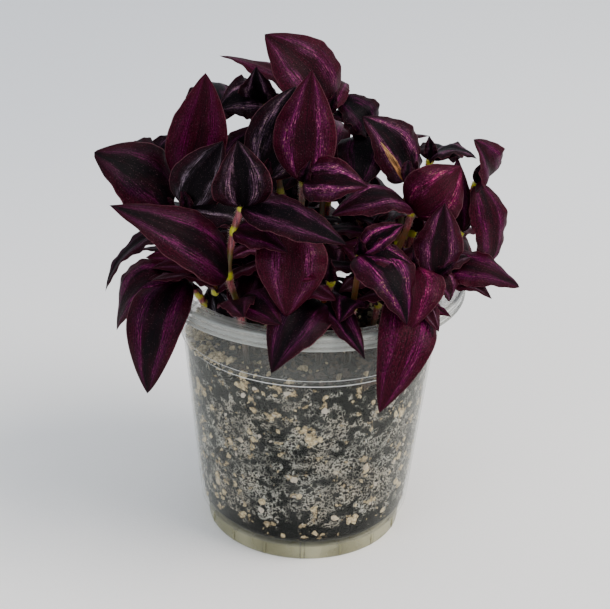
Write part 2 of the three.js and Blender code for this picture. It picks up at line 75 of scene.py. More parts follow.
# %% Wires
class Wire:
    """A socket of a node tree that Python expressions work on."""

    def __init__(self, board, socket):
        self.board = board
        self.socket = socket

    def math(self, operation, *others):
        values = dict(enumerate((self, *others)))
        return self.board.add("ShaderNodeMath", {"operation": operation}, values)

    def vector(self, operation, *others):
        values = dict(enumerate((self, *others)))
        return self.board.add("ShaderNodeVectorMath", {"operation": operation}, values)

    def scaled(self, factor):
        settings = {"operation": "SCALE"}
        return self.board.add("ShaderNodeVectorMath", settings, {0: self, "Scale": factor})

    def step(self, low, high, to_low=0.0, to_high=1.0):
        """A smooth step: to_low below low, to_high above high."""
        values = {"Value": self, "From Min": low, "From Max": high, "To Min": to_low, "To Max": to_high}
        return self.board.add("ShaderNodeMapRange", {"interpolation_type": "SMOOTHSTEP"}, values)

    def fade(self, low, high):
        """The smooth step downwards: 1 below low, 0 above high."""
        return self.step(low, high, 1.0, 0.0)

    def line(self, value, inner, outer):
        """A soft line where the wire is near a value."""
        return abs(self - value).fade(inner, outer)

    def at_least(self, other):
        return self.math("MAXIMUM", other)

    def at_most(self, other):
        return self.math("MINIMUM", other)

    def axis(self, name):
        return self.board.add("ShaderNodeSeparateXYZ", {}, {0: self}, output=name)

    def measured(self):
        """A place's x, y and z in millimetres, and its distance from the axis."""
        x, y, z = [self.axis(name) / MM for name in "XYZ"]
        return x, y, z, (x * x + y * y).math("SQRT")

    def __add__(self, other):
        return self.math("ADD", other)

    def __sub__(self, other):
        return self.math("SUBTRACT", other)

    def __rsub__(self, other):
        return self.board.add("ShaderNodeMath", {"operation": "SUBTRACT"}, {0: other, 1: self})

    def __mul__(self, other):
        return self.math("MULTIPLY", other)

    def __truediv__(self, other):
        return self.math("DIVIDE", other)

    def __pow__(self, other):
        return self.math("POWER", other)

    def __abs__(self):
        return self.math("ABSOLUTE")

    def __gt__(self, other):
        return self.math("GREATER_THAN", other)

    __radd__ = __add__
    __rmul__ = __mul__


print("a wire adds a Math node for each operator")

# %% Boards and paint
class Board:
    """A node tree that is being wired."""

    def __init__(self, tree):
        self.tree = tree

    @staticmethod
    def pick(sockets, key):
        """The socket with that number, or the first one in use with that name."""
        if isinstance(key, int):
            return sockets[key]
        return next(s for s in sockets if s.enabled and key in (None, s.name))

    def add(self, kind, settings=None, values=None, output=None):
        """Adds a node with its settings, gives its sockets values or links, and returns an
        output, or a list of outputs where a tuple names several."""
        node = self.tree.nodes.new(kind)
        for name, setting in (settings or {}).items():
            setattr(node, name, setting)
        for key, value in (values or {}).items():
            socket = self.pick(node.inputs, key)
            if isinstance(value, Wire):
                self.tree.links.new(value.socket, socket)
            else:
                socket.default_value = value
        if isinstance(output, tuple):
            return [Wire(self, self.pick(node.outputs, name)) for name in output]
        return Wire(self, self.pick(node.outputs, output)) if node.outputs else None

    def here(self):
        """Object coordinates: a point's own place on the object."""
        return self.add("ShaderNodeTexCoord", output="Object")

    def xyz(self, x, y, z):
        return self.add("ShaderNodeCombineXYZ", {}, {"X": x, "Y": y, "Z": z})

    def mix(self, factor, a, b):
        """A blend of two colours, wires or web codes: a where factor is 0 and b where it is 1."""
        a, b = [paint(c) if isinstance(c, str) else c for c in (a, b)]
        return self.add("ShaderNodeMix", {"data_type": "RGBA"}, {"Factor": factor, "A": a, "B": b})

    def noise(self, vector, scale, detail=2.0, rough=0.5):
        values = {"Vector": vector, "Scale": scale, "Detail": detail, "Roughness": rough}
        return self.add("ShaderNodeTexNoise", {}, values, output=0)

    def cells(self, vector, scale, output="Distance"):
        return self.add("ShaderNodeTexVoronoi", {}, {"Vector": vector, "Scale": scale}, output=output)


def paint(code):
    """A web colour such as #3a1030 as the linear colour that a shader takes."""
    parts = [int(code[i:i + 2], 16) / 255 for i in (1, 3, 5)]
    return (*[p / 12.92 if p < 0.04045 else ((p + 0.055) / 1.055) ** 2.4 for p in parts], 1.0)


print("web colour #808080 in linear light:", [round(c, 3) for c in paint("#808080")])

# %% [markdown]
# ## The plan of the plant
# A leafy stem is a line of joints with one leaf at each, in two ranks. The stems that show from the
# front are noted one by one. Each leaf row says from which joint it grows, where its tip is, how wide
# it is, how far its midrib bows, which way its upper face looks (a compass direction and a lift) and
# how steeply its two halves fold up. This is the same plan as the solid model's.

# %% The stems that show from the front
STEM_Z = 92
FRONT = {
    "stem_front": (
        [(4, -34, STEM_Z), (5, -38, 118), (8, -42, 130)],
        [(1, -15, -74, 106, 25, 10, 268, 50, 18),
         (1, 21, -73, 113, 13, 6, 280, 50, 20)]),
    "stem_centre": (
        [(-10, -34, STEM_Z), (-9, -37, 122), (-8, -40, 151)],
        [(2, -9, -61, 123, 28, 6, 270, 28, 18),
         (1, 9, -52, 142, 14, 4, 280, 50, 20)]),
    "stem_front_left": (
        [(-25, -36, STEM_Z), (-28, -40, 116), (-32, -43, 132), (-30, -44, 151), (-27, -44, 161)],
        [(2, -75, -62, 167, 25, 9, 275, 50, 22),
         (4, 13, -62, 154, 19, 5, 275, 62, 20),
         (4, -29, -47, 188, 23, 2, 270, 12, 38),
         (3, -9, -56, 148, 13, 3, 270, 55, 22),
         (1, -10, -64, 119, 17, 8, 265, 60, 16)]),
    "stem_left_low": (
        [(-38, -12, STEM_Z), (-46, -16, 111), (-51, -21, 120)],
        [(2, -65, -46, 80, 23, 23, 262, 30, 16),
         (2, -78, -33, 102, 22, 16, 245, 45, 16)]),
    "stem_left": (
        [(-34, -2, STEM_Z), (-44, -3, 120), (-52, -7, 136), (-57, -10, 146)],
        [(3, -86, -24, 174, 31, 5, 255, 50, 18),
         (2, -86, -13, 111, 13, 8, 200, 60, 26)]),
    "stem_front_right": (
        [(16, -32, STEM_Z), (17, -38, 118), (19, -42, 142)],
        [(2, 37, -64, 123, 25, 8, 295, 45, 22),
         (2, 35, -40, 154, 11, 3, 275, 40, 42),
         (2, 39, -50, 141, 12, 4, 280, 45, 34),
         (1, 12, -62, 121, 15, 5, 265, 50, 20)]),
    "stem_over_rim": (
        [(31, -28, STEM_Z), (37, -34, 119), (39, -41, 137)],
        [(2, 38, -62, 119, 25, 6, 278, 40, 26),
         (1, 28, -73, 90, 23, 18, 278, 30, 16),
         (1, 55, -48, 119, 9, 4, 300, 60, 22)]),
    "stem_wine": (
        [(-26, -12, STEM_Z), (-36, -16, 118), (-51, -13, 158)],
        [(2, -43, -15, 204, 24, 2, 275, 12, 24),
         (1, -66, -20, 130, 16, 7, 240, 60, 18)]),
    "stem_silver": (
        [(-31, -24, STEM_Z), (-38, -29, 118), (-49, -32, 155)],
        [(2, -35, -37, 184, 22, 2, 280, 22, 20),
         (2, -24, -34, 150, 20, 5, 265, 55, 18),
         (1, -28, -33, 99, 14, 3, 262, 40, 18)]),
    "stem_lit": (
        [(-5, -22, STEM_Z), (-6, -24, 125), (-4, -26, 165)],
        [(2, -2, -24, 209, 25, -2, 270, 15, 18),
         (2, 20, -38, 169, 20, 4, 272, 42, 22)]),
    "stem_top": (
        [(4, 4, STEM_Z), (4, 5, 125), (4, 6, 160), (5, 6, 183)],
        [(3, -20, 2, 216, 31, 7, 300, 32, 20),
         (3, -41, 36, 197, 16, 6, 270, 78, 16),
         (3, 13, 32, 189, 11, 4, 60, 60, 18),
         (2, 6, 54, 166, 21, 7, 90, 70, 18)]),
    "stem_behind_lit": (
        [(-15, -8, STEM_Z), (-18, -10, 125), (-20, -12, 161)],
        [(2, -10, -9, 199, 28, 2, 250, 14, 16),
         (1, -22, 20, 150, 24, 6, 90, 60, 18)]),
    "stem_brown": (
        [(-10, 12, STEM_Z), (-12, 13, 130), (-18, 14, 173), (-22, 16, 183)],
        [(3, -27, 8, 200, 17, 2, 265, 20, 28),
         (3, -39, 7, 184, 20, 5, 268, 45, 24),
         (2, -30, 57, 168, 21, 7, 100, 70, 18),
         (1, -16, 56, 138, 22, 7, 92, 70, 18)]),
    "stem_dark": (
        [(-22, 6, STEM_Z), (-29, 5, 125), (-38, 4, 160), (-41, 3, 178)],
        [(3, -40, 34, 191, 23, 5, 265, 40, 14),
         (2, -20, -2, 180, 15, 3, 270, 40, 22),
         (1, -58, 24, 143, 24, 7, 120, 65, 18),
         (2, -42, 50, 146, 20, 7, 100, 70, 18)]),
    "stem_left_back": (
        [(-30, 14, STEM_Z), (-42, 16, 120), (-62, 15, 153)],
        [(2, -80, 6, 163, 20, 5, 265, 60, 18),
         (2, -57, 28, 165, 18, 3, 270, 35, 16),
         (1, -76, 34, 128, 24, 9, 130, 60, 18)]),
    "stem_rose": (
        [(26, -12, STEM_Z), (31, -16, 122), (39, -21, 152), (37, -16, 162)],
        [(2, 58, -16, 170, 26, 8, 290, 32, 14),
         (2, 7, -36, 155, 21, 9, 268, 78, 18),
         (3, 26, -10, 177, 8, -2, 280, 20, 40),
         (1, 12, -30, 141, 24, 5, 262, 45, 18)]),
    "stem_upright_right": (
        [(36, -20, STEM_Z), (42, -24, 119), (50, -28, 128)],
        [(2, 51, -31, 160, 21, 2, 285, 22, 18),
         (2, 56, -33, 119, 12, 3, 300, 55, 20)]),
    "stem_far_right": (
        [(40, 2, STEM_Z), (47, 1, 116), (60, 0, 140), (66, -3, 158)],
        [(3, 63, -10, 179, 24, 6, 325, 12, 30),
         (3, 73, -5, 119, 19, 6, 308, 15, 16),
         (1, 76, 26, 126, 24, 9, 60, 60, 18)]),
    "stem_right_low": (
        [(41, -10, STEM_Z), (50, -13, 121), (56, -9, 130), (61, -6, 138)],
        [(1, 84, -24, 126, 20, 9, 300, 55, 20),
         (3, 59, 3, 167, 12, 3, 250, 12, 24)]),
    "stem_purple": (
        [(30, 2, STEM_Z), (34, 4, 120), (40, 6, 157)],
        [(2, 19, 0, 184, 25, 4, 295, 32, 18),
         (2, 31, 26, 169, 18, 5, 75, 50, 18)]),
    "stem_right_back": (
        [(34, 14, STEM_Z), (41, 15, 120), (48, 12, 162)],
        [(2, 67, 6, 161, 17, 4, 330, 65, 20),
         (2, 60, 34, 156, 20, 5, 60, 60, 18)]),
    "stem_black": (
        [(18, 12, STEM_Z), (20, 14, 125), (21, 16, 170)],
        [(2, 8, 18, 187, 20, 8, 285, 50, 20),
         (2, 5, 8, 182, 13, 4, 275, 60, 26),
         (2, 22, -12, 160, 22, 5, 272, 55, 14),
         (2, 33, 54, 156, 21, 7, 72, 70, 18),
         (1, 24, 56, 130, 22, 7, 80, 70, 18)]),
}

print("front stems:", len(FRONT), "with", sum(len(rows) for _, rows in FRONT.values()), "planned leaves")

# %% [markdown]
# The stems at the back and the small leaves low inside the bush can't be seen one by one, so they
# follow a rule: every kind of stem has a fan of leaves, and each leaf strays a little from its place
# in the fan. The random numbers come from one small formula with a fixed start, so they are the same
# every time.

# %% The stems at the back and the inner leaves
# Kind of stem, its foot's compass and distance from the axis, its crown's compass, distance, height.
BACK = {
    "stem_back_a": ("tall", 78, 27, 78, 33, 150),
    "stem_back_b": ("tall", 106, 37, 106, 43, 136),
    "stem_back_c": ("tall", 134, 31, 132, 38, 146),
    "stem_back_d": ("tall", 50, 35, 50, 42, 138),
    "stem_back_e": ("low", 146, 43, 146, 50, 122),
    "stem_back_f": ("low", 33, 43, 33, 50, 122),
    "stem_back_g": ("low", 78, 45, 74, 49, 121),
    "stem_back_h": ("low", 118, 45, 114, 49, 120),
}
# Joint, way off the crown's compass, rise, length, bow and width as shares of it, lift of the face.
FANS = {
    "tall": [
        (3, 12, 42, 46, 0.12, 0.47, 70),
        (3, -80, 18, 44, 0.14, 0.46, 75),
        (2, 66, 8, 43, 0.16, 0.47, 70),
        (2, -22, -8, 42, 0.18, 0.48, 60),
    ],
    "low": [
        (3, -4, -42, 43, 0.38, 0.5, 32),
        (3, -62, 12, 40, 0.16, 0.48, 70),
        (3, 58, 6, 40, 0.16, 0.48, 70),
        (2, 100, 20, 36, 0.14, 0.46, 75),
    ],
    "inner": [
        (1, 0, 10, 31, 0.12, 0.47, 75),
        (1, 180, 10, 31, 0.12, 0.47, 75),
    ],
}
STRAY = {"turn": 30, "rise": 18, "long": 0.14}
WILD_FOLD = 18
LEAN = 1.6
BACK_JOINTS = (0, 0.45, 0.75, 1)
INNER_TURN = 137
# Leaves are numbered in tens, ten for each stem, and each sort of leaf starts at its own number.
NUMBERS_PER_STEM = 10
FIRST_NUMBER = {"planned": 0, "inner": 300, "back": 500}
# The start of each row of random numbers, and how far apart the rows of one sort start.
SEEDS = {"fan": (1000, 37), "young": (7001, 53), "look": (4001, 91), "big bits": (77, 0)}
MULTIPLIER, MODULUS = 16807, 2 ** 31 - 1
print("back stems:", len(BACK), "and kinds of fan:", len(FANS))

# %% The whole plan
def look(compass, lift):
    """The unit vector along a compass direction, raised by a lift, both in degrees."""
    c, t = radians(compass), radians(lift)
    return Vector((cos(c) * cos(t), sin(c) * cos(t), sin(t)))


def random_numbers(sort, row=0):
    """Repeatable numbers from 0 to 1."""
    start, apart = SEEDS[sort]
    seed = start + apart * row
    while True:
        seed = seed * MULTIPLIER % MODULUS
        yield seed / MODULUS


def planned_leaves(path, rows, seed):
    leaves = []
    for i, (joint, x, y, z, wide, bow, compass, lift, fold) in enumerate(rows):
        root = Vector(path[joint])
        span = Vector((x, y, z)) - root
        leaves.append(dict(kind="planned", root=root, aim=span.normalized(), long=span.length, wide=wide,
                           bow=bow, face=look(compass, lift), fold=fold, seed=seed + i))
    return leaves


def fan_leaves(fan, path, heading, seed):
    numbers = random_numbers("fan", seed)
    leaves = []
    for i, (joint, turn, rise, length, bow, stout, lift) in enumerate(FANS[fan]):
        stray = [next(numbers) - 0.5 for _ in range(3)]
        compass = heading + turn + STRAY["turn"] * stray[0]
        aim = look(compass, rise + STRAY["rise"] * stray[1])
        long = length * (1 + STRAY["long"] * stray[2])
        leaves.append(dict(kind="wild", root=Vector(path[joint]), aim=aim, long=long, wide=long * stout,
                           bow=long * bow, face=look(compass, lift), fold=WILD_FOLD, seed=seed + i))
    return leaves


def back_path(foot_at, foot_r, crown_at, crown_r, crown_z):
    foot = look(foot_at, 0) * foot_r
    crown = look(crown_at, 0) * crown_r
    points = []
    for share in BACK_JOINTS:
        place = foot.lerp(crown, share ** LEAN)
        points.append((place.x, place.y, STEM_Z + (crown_z - STEM_Z) * share))
    return points


def numbered(sort, i):
    """The number of a stem's first leaf of a sort."""
    return FIRST_NUMBER[sort] + NUMBERS_PER_STEM * i


stems = {}
for i, (name, (path, rows)) in enumerate(FRONT.items()):
    leaves = planned_leaves(path, rows, numbered("planned", i))
    inner = fan_leaves("inner", path, INNER_TURN * i, numbered("inner", i))
    stems[name] = {"path": path, "leaves": leaves + inner}
for i, (name, (fan, *places)) in enumerate(BACK.items()):
    path = back_path(*places)
    stems[name] = {"path": path, "leaves": fan_leaves(fan, path, places[2], numbered("back", i))}
print("stems:", len(stems), "leaves in the plan:", sum(len(s["leaves"]) for s in stems.values()))

# %% [markdown]
# On a real plant a leaf that meets another slides past it. In the model each leaf tried directions on
# a growing spiral round its own until it was clear, so a leaf's final direction has to be looked up:
# its tip is a corner of the stem's CAD node, and the try whose tip is such a corner is the right one.
# A leaf with no such corner had no room and didn't grow.

# %% The direction that each leaf took
TRIES = {"planned": 90, "wild": 37}
TRY_STEP = {"planned": 2.6, "wild": 5}
TRY_TURN = 2.4
STEEPEST = 0.35
SAME_POINT = 0.02


def try_direction(leaf, k):
    """The k-th direction that a leaf tries."""
    aim = leaf["aim"]
    compass, pitch = math.atan2(aim.y, aim.x), math.asin(aim.z)
    spread = radians(TRY_STEP[leaf["kind"]] * math.sqrt(k))
    turn = compass + spread * cos(TRY_TURN * k) / max(STEEPEST, cos(pitch))
    rise = pitch + spread * sin(TRY_TURN * k)
    return look(math.degrees(turn), math.degrees(rise))


def corners(node):
    """A quick way to find a CAD node's nearest corner, in millimetres."""
    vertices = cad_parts[node].data.vertices
    tree = KDTree(len(vertices))
    for i, v in enumerate(vertices):
        tree.insert(v.co / MM, i)
    tree.balance()
    return tree


def settle(node, leaves):
    """The leaves of a stem that grew, with the direction that each took."""
    tree = corners(node)
    grown = []
    for leaf in leaves:
        for k in range(TRIES[leaf["kind"]]):
            toward = try_direction(leaf, k)
            if tree.find(leaf["root"] + toward * leaf["long"])[2] < SAME_POINT:
                grown.append({**leaf, "toward": toward})
                break
    return grown


for name, stem in stems.items():
    stem["leaves"] = settle(name, stem["leaves"])
print("leaves that grew:", sum(len(s["leaves"]) for s in stems.values()))
print("stems with fewest:", min((len(s["leaves"]), n) for n, s in stems.items()))

# %% [markdown]
# Low inside the bush, every stem also bears small young leaves. They fill the shade between the stems
# and stay hidden below the big ones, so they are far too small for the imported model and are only
# made here. A young leaf is kept when its tip stays inside the bush, behind the stems in front. The end
# of each stem carries a bud, a narrow leaf that is still folded.

# %% Young leaves in the shade
YOUNG = {
    "per_stem": 7, "long": (18, 31), "wide": 0.5, "bow": 0.14, "fold": 20, "rise": (-12, 35), "lift": 70,
    "within": 54, "floor": 99, "top": 160, "behind": -27, "number": 9,
}
BUD = {"long": 10, "wide": 5.5, "bow": 1, "fold": 40, "seed": 8}
BUD_LEAN = 0.35


def between(limits, share):
    """The value at a share of the way from the first limit to the second."""
    return limits[0] + (limits[1] - limits[0]) * share


def young_leaves(path, row):
    numbers = random_numbers("young", row)
    leaves = []
    for i in range(YOUNG["per_stem"]):
        share, compass, rise, size = [next(numbers) for _ in range(4)]
        joint = i % 2
        root = Vector(path[joint]).lerp(Vector(path[joint + 1]), 0.5 * (1 - joint) + 0.5 * share)
        toward = look(360 * compass, between(YOUNG["rise"], rise))
        long = between(YOUNG["long"], size)
        tip = root + toward * long
        inside = tip.xy.length < YOUNG["within"] and YOUNG["floor"] < tip.z < YOUNG["top"]
        if inside and min(tip.y, root.y) > YOUNG["behind"]:
            leaves.append(dict(kind="young", root=root, toward=toward, long=long,
                               wide=long * YOUNG["wide"], bow=long * YOUNG["bow"],
                               face=look(360 * compass, YOUNG["lift"]), fold=YOUNG["fold"],
                               seed=YOUNG["number"] + i))
    end, before = Vector(path[-1]), Vector(path[-2])
    growth = (end - before).normalized() + look(360 * next(numbers), 0) * BUD_LEAN
    return [*leaves, dict(kind="young", root=end, toward=growth.normalized(), face=look(-90, 20), **BUD)]


for i, stem in enumerate(stems.values()):
    stem["young"] = young_leaves(stem["path"], i)
print("young leaves:", sum(len(s["young"]) for s in stems.values()))

# %% [markdown]
# ## Tools for materials
# Every finish starts from an empty board with one Principled shader. Its sockets are set by name, a
# constant straight on the socket and a wire by a link. Bump turns a height into the look of relief,
# and an attribute brings in what a piece carries on its points.

# %% Materials
def new_material(name):
    """A material and its board, with the shader's sockets in reach."""
    material = bpy.data.materials.new(name)
    material.use_nodes = True
    tree = material.node_tree
    tree.nodes.clear()
    board = Board(tree)
    board.shader = tree.nodes.new("ShaderNodeBsdfPrincipled")
    output = tree.nodes.new("ShaderNodeOutputMaterial")
    tree.links.new(board.shader.outputs[0], output.inputs["Surface"])
    return material, board


def finish_shader(board, **sockets):
    """Sets the shader's sockets, by names with _ for a space, to values or wires."""
    for name, value in sockets.items():
        socket = board.shader.inputs[name.replace("_", " ")]
        if isinstance(value, Wire):
            board.tree.links.new(value.socket, socket)
        else:
            socket.default_value = value


def bump(board, height, distance):
    """Raises the surface by a height, in millimetres where the height is 1."""
    values = {"Height": height, "Distance": distance * MM, "Strength": 1.0}
    return board.add("ShaderNodeBump", {}, values)


def attribute(board, name):
    return board.add("ShaderNodeAttribute", {"attribute_name": name}, output="Fac")


print("a finish starts from one shader, and its board adds the rest")

# %% [markdown]
# ## The leaf's colours
# The upper side is nearly black in the middle and turns wine-red to the margins. Between the midrib
# and each margin runs a band of purple, or of silver on some leaves, made of fine streaks, and painted
# glints in it stand for its cells catching the light. The margin is a thin paler line. Every pattern
# follows the blade, so it is read from the blade's own map, which runs from base to tip and from margin
# to margin, and how strong each colour is comes from attributes that every leaf carries.

# %% The upper side of a leaf
NEAR_BLACK, WINE, PURPLE, SILVER, CRIMSON = "#050205", "#2e0413", "#46003a", "#464049", "#4c062c"
MAGENTA, PALE_SILVER, PALE_CRIMSON = "#8c0c62", "#7d7680", "#aa1858"
# ROSE, GOLD and ASH are the colours of the painted glints.
ROSE, GOLD, ASH, DUST, MARGIN = "#c8648a", "#c28a74", "#b9aea2", "#a8808c", "#6a3a44"
DRIED, DRIED_DARK, DRIED_PALE = "#a8652c", "#4a2a1a", "#cda878"


def blade_map(board):
    """How far along the blade a point is, its side from -1 to 1, and its distance from the midrib."""
    place = board.add("ShaderNodeUVMap", {"uv_map": "blade"})
    along = place.axis("X")
    side = place.axis("Y") * 2 - 1
    return along, side, abs(side)


def streaks(board, along, side, fine, long, seed):
    """Noise drawn out along the blade, such as veins and rows of cells."""
    return board.noise(board.xyz(along * long, side * fine, seed), 1.0, 3.0)


def leaf_upper():
    material, board = new_material("leaf_upper")
    along, side, away = blade_map(board)
    shares = ("wine", "purple", "silver", "dry", "tone")
    wine, purple, silver, dry, seed = [attribute(board, name) for name in shares]
    cloud = streaks(board, along, side, 3, 4, seed + 7)
    fibres = streaks(board, along, side, 34, 4, seed)
    velvet = board.noise(board.xyz(along * 60, side * 26, seed), 1.0)
    # The band lies between the midrib and the margin, and its core is brighter.
    ends = along.step(0.0, 0.16) * along.step(0.8, 1.0, 1.0, 0.2)
    wander = away + (cloud - 0.5) * 0.65 + (fibres - 0.5) * 0.3
    band = wander.step(0.24, 0.48) * wander.fade(0.52, 0.84) * ends
    core = wander.step(0.38, 0.5) * wander.fade(0.52, 0.64) * ends * fibres.step(0.4, 0.62)
    redness = wine * 0.9 + away.step(0.0, 0.9) * 0.35 + (cloud - 0.5) * 0.9 - 0.05
    ground = board.mix(redness.step(0.0, 1.0), NEAR_BLACK, WINE)
    crimson = wine.step(0.9, 1.3, 0.0, 0.6)
    stripe = board.mix(crimson, board.mix(silver, PURPLE, SILVER), CRIMSON)
    shine = board.mix(silver, fibres.step(0.3, 0.62), fibres.step(0.46, 0.66))
    colour = board.mix((band * purple * shine).at_most(1.0), ground, stripe)
    bright = board.mix(crimson, board.mix(silver, MAGENTA, PALE_SILVER), PALE_CRIMSON)
    strength = purple ** 2 * 0.65 + silver * 0.4
    colour = board.mix((core * strength).at_most(1.0), colour, bright)
    shade = (0.35 + velvet.step(0.25, 0.75) * 1.3) * fibres.step(0.36, 0.64, 0.72, 1.28)
    colour = colour.scaled(shade)
    # Cells that catch the light in the band, as painted glints, and dust all over.
    cells = board.cells(board.xyz(along * 52, side * 30, seed), 1.0, "Color").axis("X")
    painted_glint = cells.step(0.82, 0.95) * (core * 0.85 + band * 0.2) * purple.step(0.25, 1.0)
    painted_glint_colour = board.mix(cloud.step(0.42, 0.58), GOLD, ROSE)
    colour = board.mix(painted_glint, colour, board.mix(silver, painted_glint_colour, ASH))
    dust = board.cells(board.xyz(along * 60, side * 26, seed + 11), 1.0).fade(0.06, 0.13)
    colour = board.mix(dust * 0.55, colour, DUST)
    rib = away.fade(0.0, 0.03) * 0.5
    colour = board.mix(rib, colour, "#070305")
    margin = away.step(0.955, 0.985) * (velvet.step(0.3, 0.6) * 0.5 + 0.25)
    colour = board.mix(margin, colour, MARGIN)
    withered = board.mix(fibres.step(0.35, 0.65), DRIED_DARK, board.mix(along, DRIED, DRIED_PALE))
    colour = board.mix(dry, colour, withered)
    veins = streaks(board, along, side, 24, 1.2, seed + 3)
    rough = 0.5 - band * 0.1 + dry * 0.3 + (cloud - 0.5) * 0.16
    finish_shader(board, Base_Color=colour, Roughness=rough, Specular_IOR_Level=0.05,
                  Normal=bump(board, veins * 0.6 + velvet * 0.4, 0.25))
    return material


upper = leaf_upper()
print("upper side:", len(upper.node_tree.nodes), "nodes")

# %% The lower side of a leaf
def leaf_under():
    """The lower side: an even burgundy with faint ribs, lighter at the margin."""
    material, board = new_material("leaf_under")
    along, side, away = blade_map(board)
    dry, seed = attribute(board, "dry"), attribute(board, "tone")
    ribs = streaks(board, along, side, 20, 1.5, seed)
    cloud = streaks(board, along, side, 3, 3, seed + 5)
    colour = board.mix(cloud.step(0.3, 0.7), "#200010", "#36031c")
    colour = board.mix(ribs.step(0.5, 0.72) * 0.4, colour, "#4c1230")
    colour = board.mix(away.step(0.95, 0.99) * 0.6, colour, MARGIN)
    colour = board.mix(dry, colour, "#7a4420")
    finish_shader(board, Base_Color=colour, Roughness=0.5 + (cloud - 0.5) * 0.2,
                  Specular_IOR_Level=0.06, Normal=bump(board, ribs, 0.2))
    return material


under = leaf_under()
print("lower side:", len(under.node_tree.nodes), "nodes")

# %% [markdown]
# ## The stem's colours
# The swollen joints are a bright yellow-green. Away from them the stem is olive, and it blushes pink
# and brown where a leaf's sheath wraps it. Low in the pot and inside the bush the stem is painted nearly
# black as shade. The attribute `joint` is 1 at a joint and fades from it, and `sheath` is 1 where the
# skin is a sheath. The hairs are pale.

# %% The stem and its hairs
def stalk_skin():
    material, board = new_material("stalk_skin")
    place = board.here()
    _, _, z, r = place.measured()
    joint, sheath = attribute(board, "joint"), attribute(board, "sheath")
    blotch = board.noise(place, 260.0, 3.0)
    lines = board.noise(place.vector("MULTIPLY", (1800.0, 1800.0, 90.0)), 1.0)
    colour = board.mix(blotch.step(0.35, 0.65), "#4d4a20", "#6a4326")
    blush = board.mix(lines.step(0.35, 0.65), "#a8555c", "#5a2038")
    colour = board.mix(sheath * blotch.step(0.2, 0.6, 0.55, 1.0), colour, blush)
    colour = board.mix((joint + (blotch - 0.5) * 0.3).step(0.25, 0.8), colour, "#b8b41e")
    # Painted shade: low in the pot and close to the axis, inside the bush, the stem is painted nearly
    # black.
    low, inner = z.step(94.0, 112.0, 0.9, 0.0), r.step(26.0, 42.0, 0.75, 0.0)
    colour = board.mix(low.at_least(inner), colour, "#140d0a")
    finish_shader(board, Base_Color=colour, Roughness=0.42, Subsurface_Weight=0.08,
                  Normal=bump(board, lines, 0.15))
    return material


def hair_skin():
    material, board = new_material("hair_skin")
    colour = board.mix(board.noise(board.here(), 400.0), "#cdb9a8", "#8d7466")
    finish_shader(board, Base_Color=colour, Roughness=0.6)
    return material


skin, hair = stalk_skin(), hair_skin()
print("stem materials:", skin.name, hair.name)

# %% [markdown]
# ## Growing a leafy stem
# One Geometry Nodes tree grows a whole leafy stem from a small mesh that holds its plan: a chain of
# edges is the stem's line, and a loose point for each leaf carries the leaf's root, the three
# directions of its blade and its sizes as attributes. The blade follows a rule, so the tree lays a
# flat grid on every leaf point and moves each of its points to where the rule puts it. Raising that
# sheet by half the leaf's thickness on both sides, and letting the thickness run out at the margin,
# gives a closed blade with a true edge.

# %% The blade's sizes
BLADE = {
    "thick": 0.6, "rows": 34, "columns": 23, "packed": 0.55, "sheath": 0.003, "shoulder": 0.6,
    "bow_early": 0.85, "cup": 0.42, "crease": 0.06, "wave": 0.9, "waves": 2.4, "frill": 0.45,
    "frills": 6.5, "rib": 0.08, "ribs": 3.0, "pucker": 0.5, "twist_from": 0.25, "hook_from": 0.7,
    "hook": 11, "edge": 6.0, "base_ease": 40, "tip_ease": 14,
}
TAPERS = (0.86, 1.1)
HALF_THICK = BLADE["thick"] / 2
INSIDE = [tuple(v + side * HALF_THICK * MM for v in corner) for corner, side in zip(cad_box, (1, -1))]


def widest(taper):
    """How wide the outline (t + sheath) ** shoulder * (1 - t) ** taper is where it is widest."""
    shoulder, sheath = BLADE["shoulder"], BLADE["sheath"]
    t = (shoulder - taper * sheath) / (shoulder + taper)
    return (t + sheath) ** shoulder * (1 - t) ** taper


print("unscaled half widths:", [round(widest(t), 3) for t in TAPERS])

# %% [markdown]
# A Geometry Nodes tree is wired on a board as a material is. Each tree here runs once, on a mesh
# that serves as its plan, and its result is kept as a plain mesh, so nothing is left to evaluate
# later. Copies are made real on the way, because an instance would be lost in the export.

# %% Tools for Geometry Nodes
MATERIAL = "Material"


def geometry_tree(name, inputs):
    """The board of a new Geometry Nodes tree, and the wires of its named inputs."""
    tree = bpy.data.node_groups.new(name, "GeometryNodeTree")
    for way in ("INPUT", "OUTPUT"):
        tree.interface.new_socket("Geometry", in_out=way, socket_type="NodeSocketGeometry")
    for label, kind in inputs.items():
        tree.interface.new_socket(label, in_out="INPUT", socket_type="NodeSocket" + kind)
    board = Board(tree)
    start = tree.nodes.new("NodeGroupInput")
    return board, {s.name: Wire(board, s) for s in start.outputs if s.name}


def end_tree(board, geometry):
    board.add("NodeGroupOutput", {}, {"Geometry": geometry})
    return board.tree


def in_scene(name, data):
    """A new object at the origin that shows a mesh, a camera or a light."""
    thing = bpy.data.objects.new(name, data)
    bpy.context.scene.collection.objects.link(thing)
    return thing


def grow(tree, plan, values):
    """Runs a tree on a plan mesh and gives back the result as a plain mesh."""
    base = in_scene("plan", plan)
    modifier = base.modifiers.new("grow", "NODES")
    modifier.node_group = tree
    for item in tree.interface.items_tree:
        if item.in_out == "INPUT" and item.name in values:
            modifier[item.identifier] = values[item.name]
    graph = bpy.context.evaluated_depsgraph_get()
    mesh = bpy.data.meshes.new_from_object(base.evaluated_get(graph), depsgraph=graph)
    bpy.data.objects.remove(base)
    mesh.calc_loop_triangles()
    return mesh


def named(board, name, data_type="FLOAT"):
    return board.add("GeometryNodeInputNamedAttribute", {"data_type": data_type}, {"Name": name})


def store(board, geometry, name, value, data_type="FLOAT", domain="POINT"):
    settings = {"data_type": data_type, "domain": domain}
    values = {"Geometry": geometry, "Name": name, "Value": value}
    return board.add("GeometryNodeStoreNamedAttribute", settings, values)


def place_at(board, geometry, position):
    return board.add("GeometryNodeSetPosition", {}, {"Geometry": geometry, "Position": position})


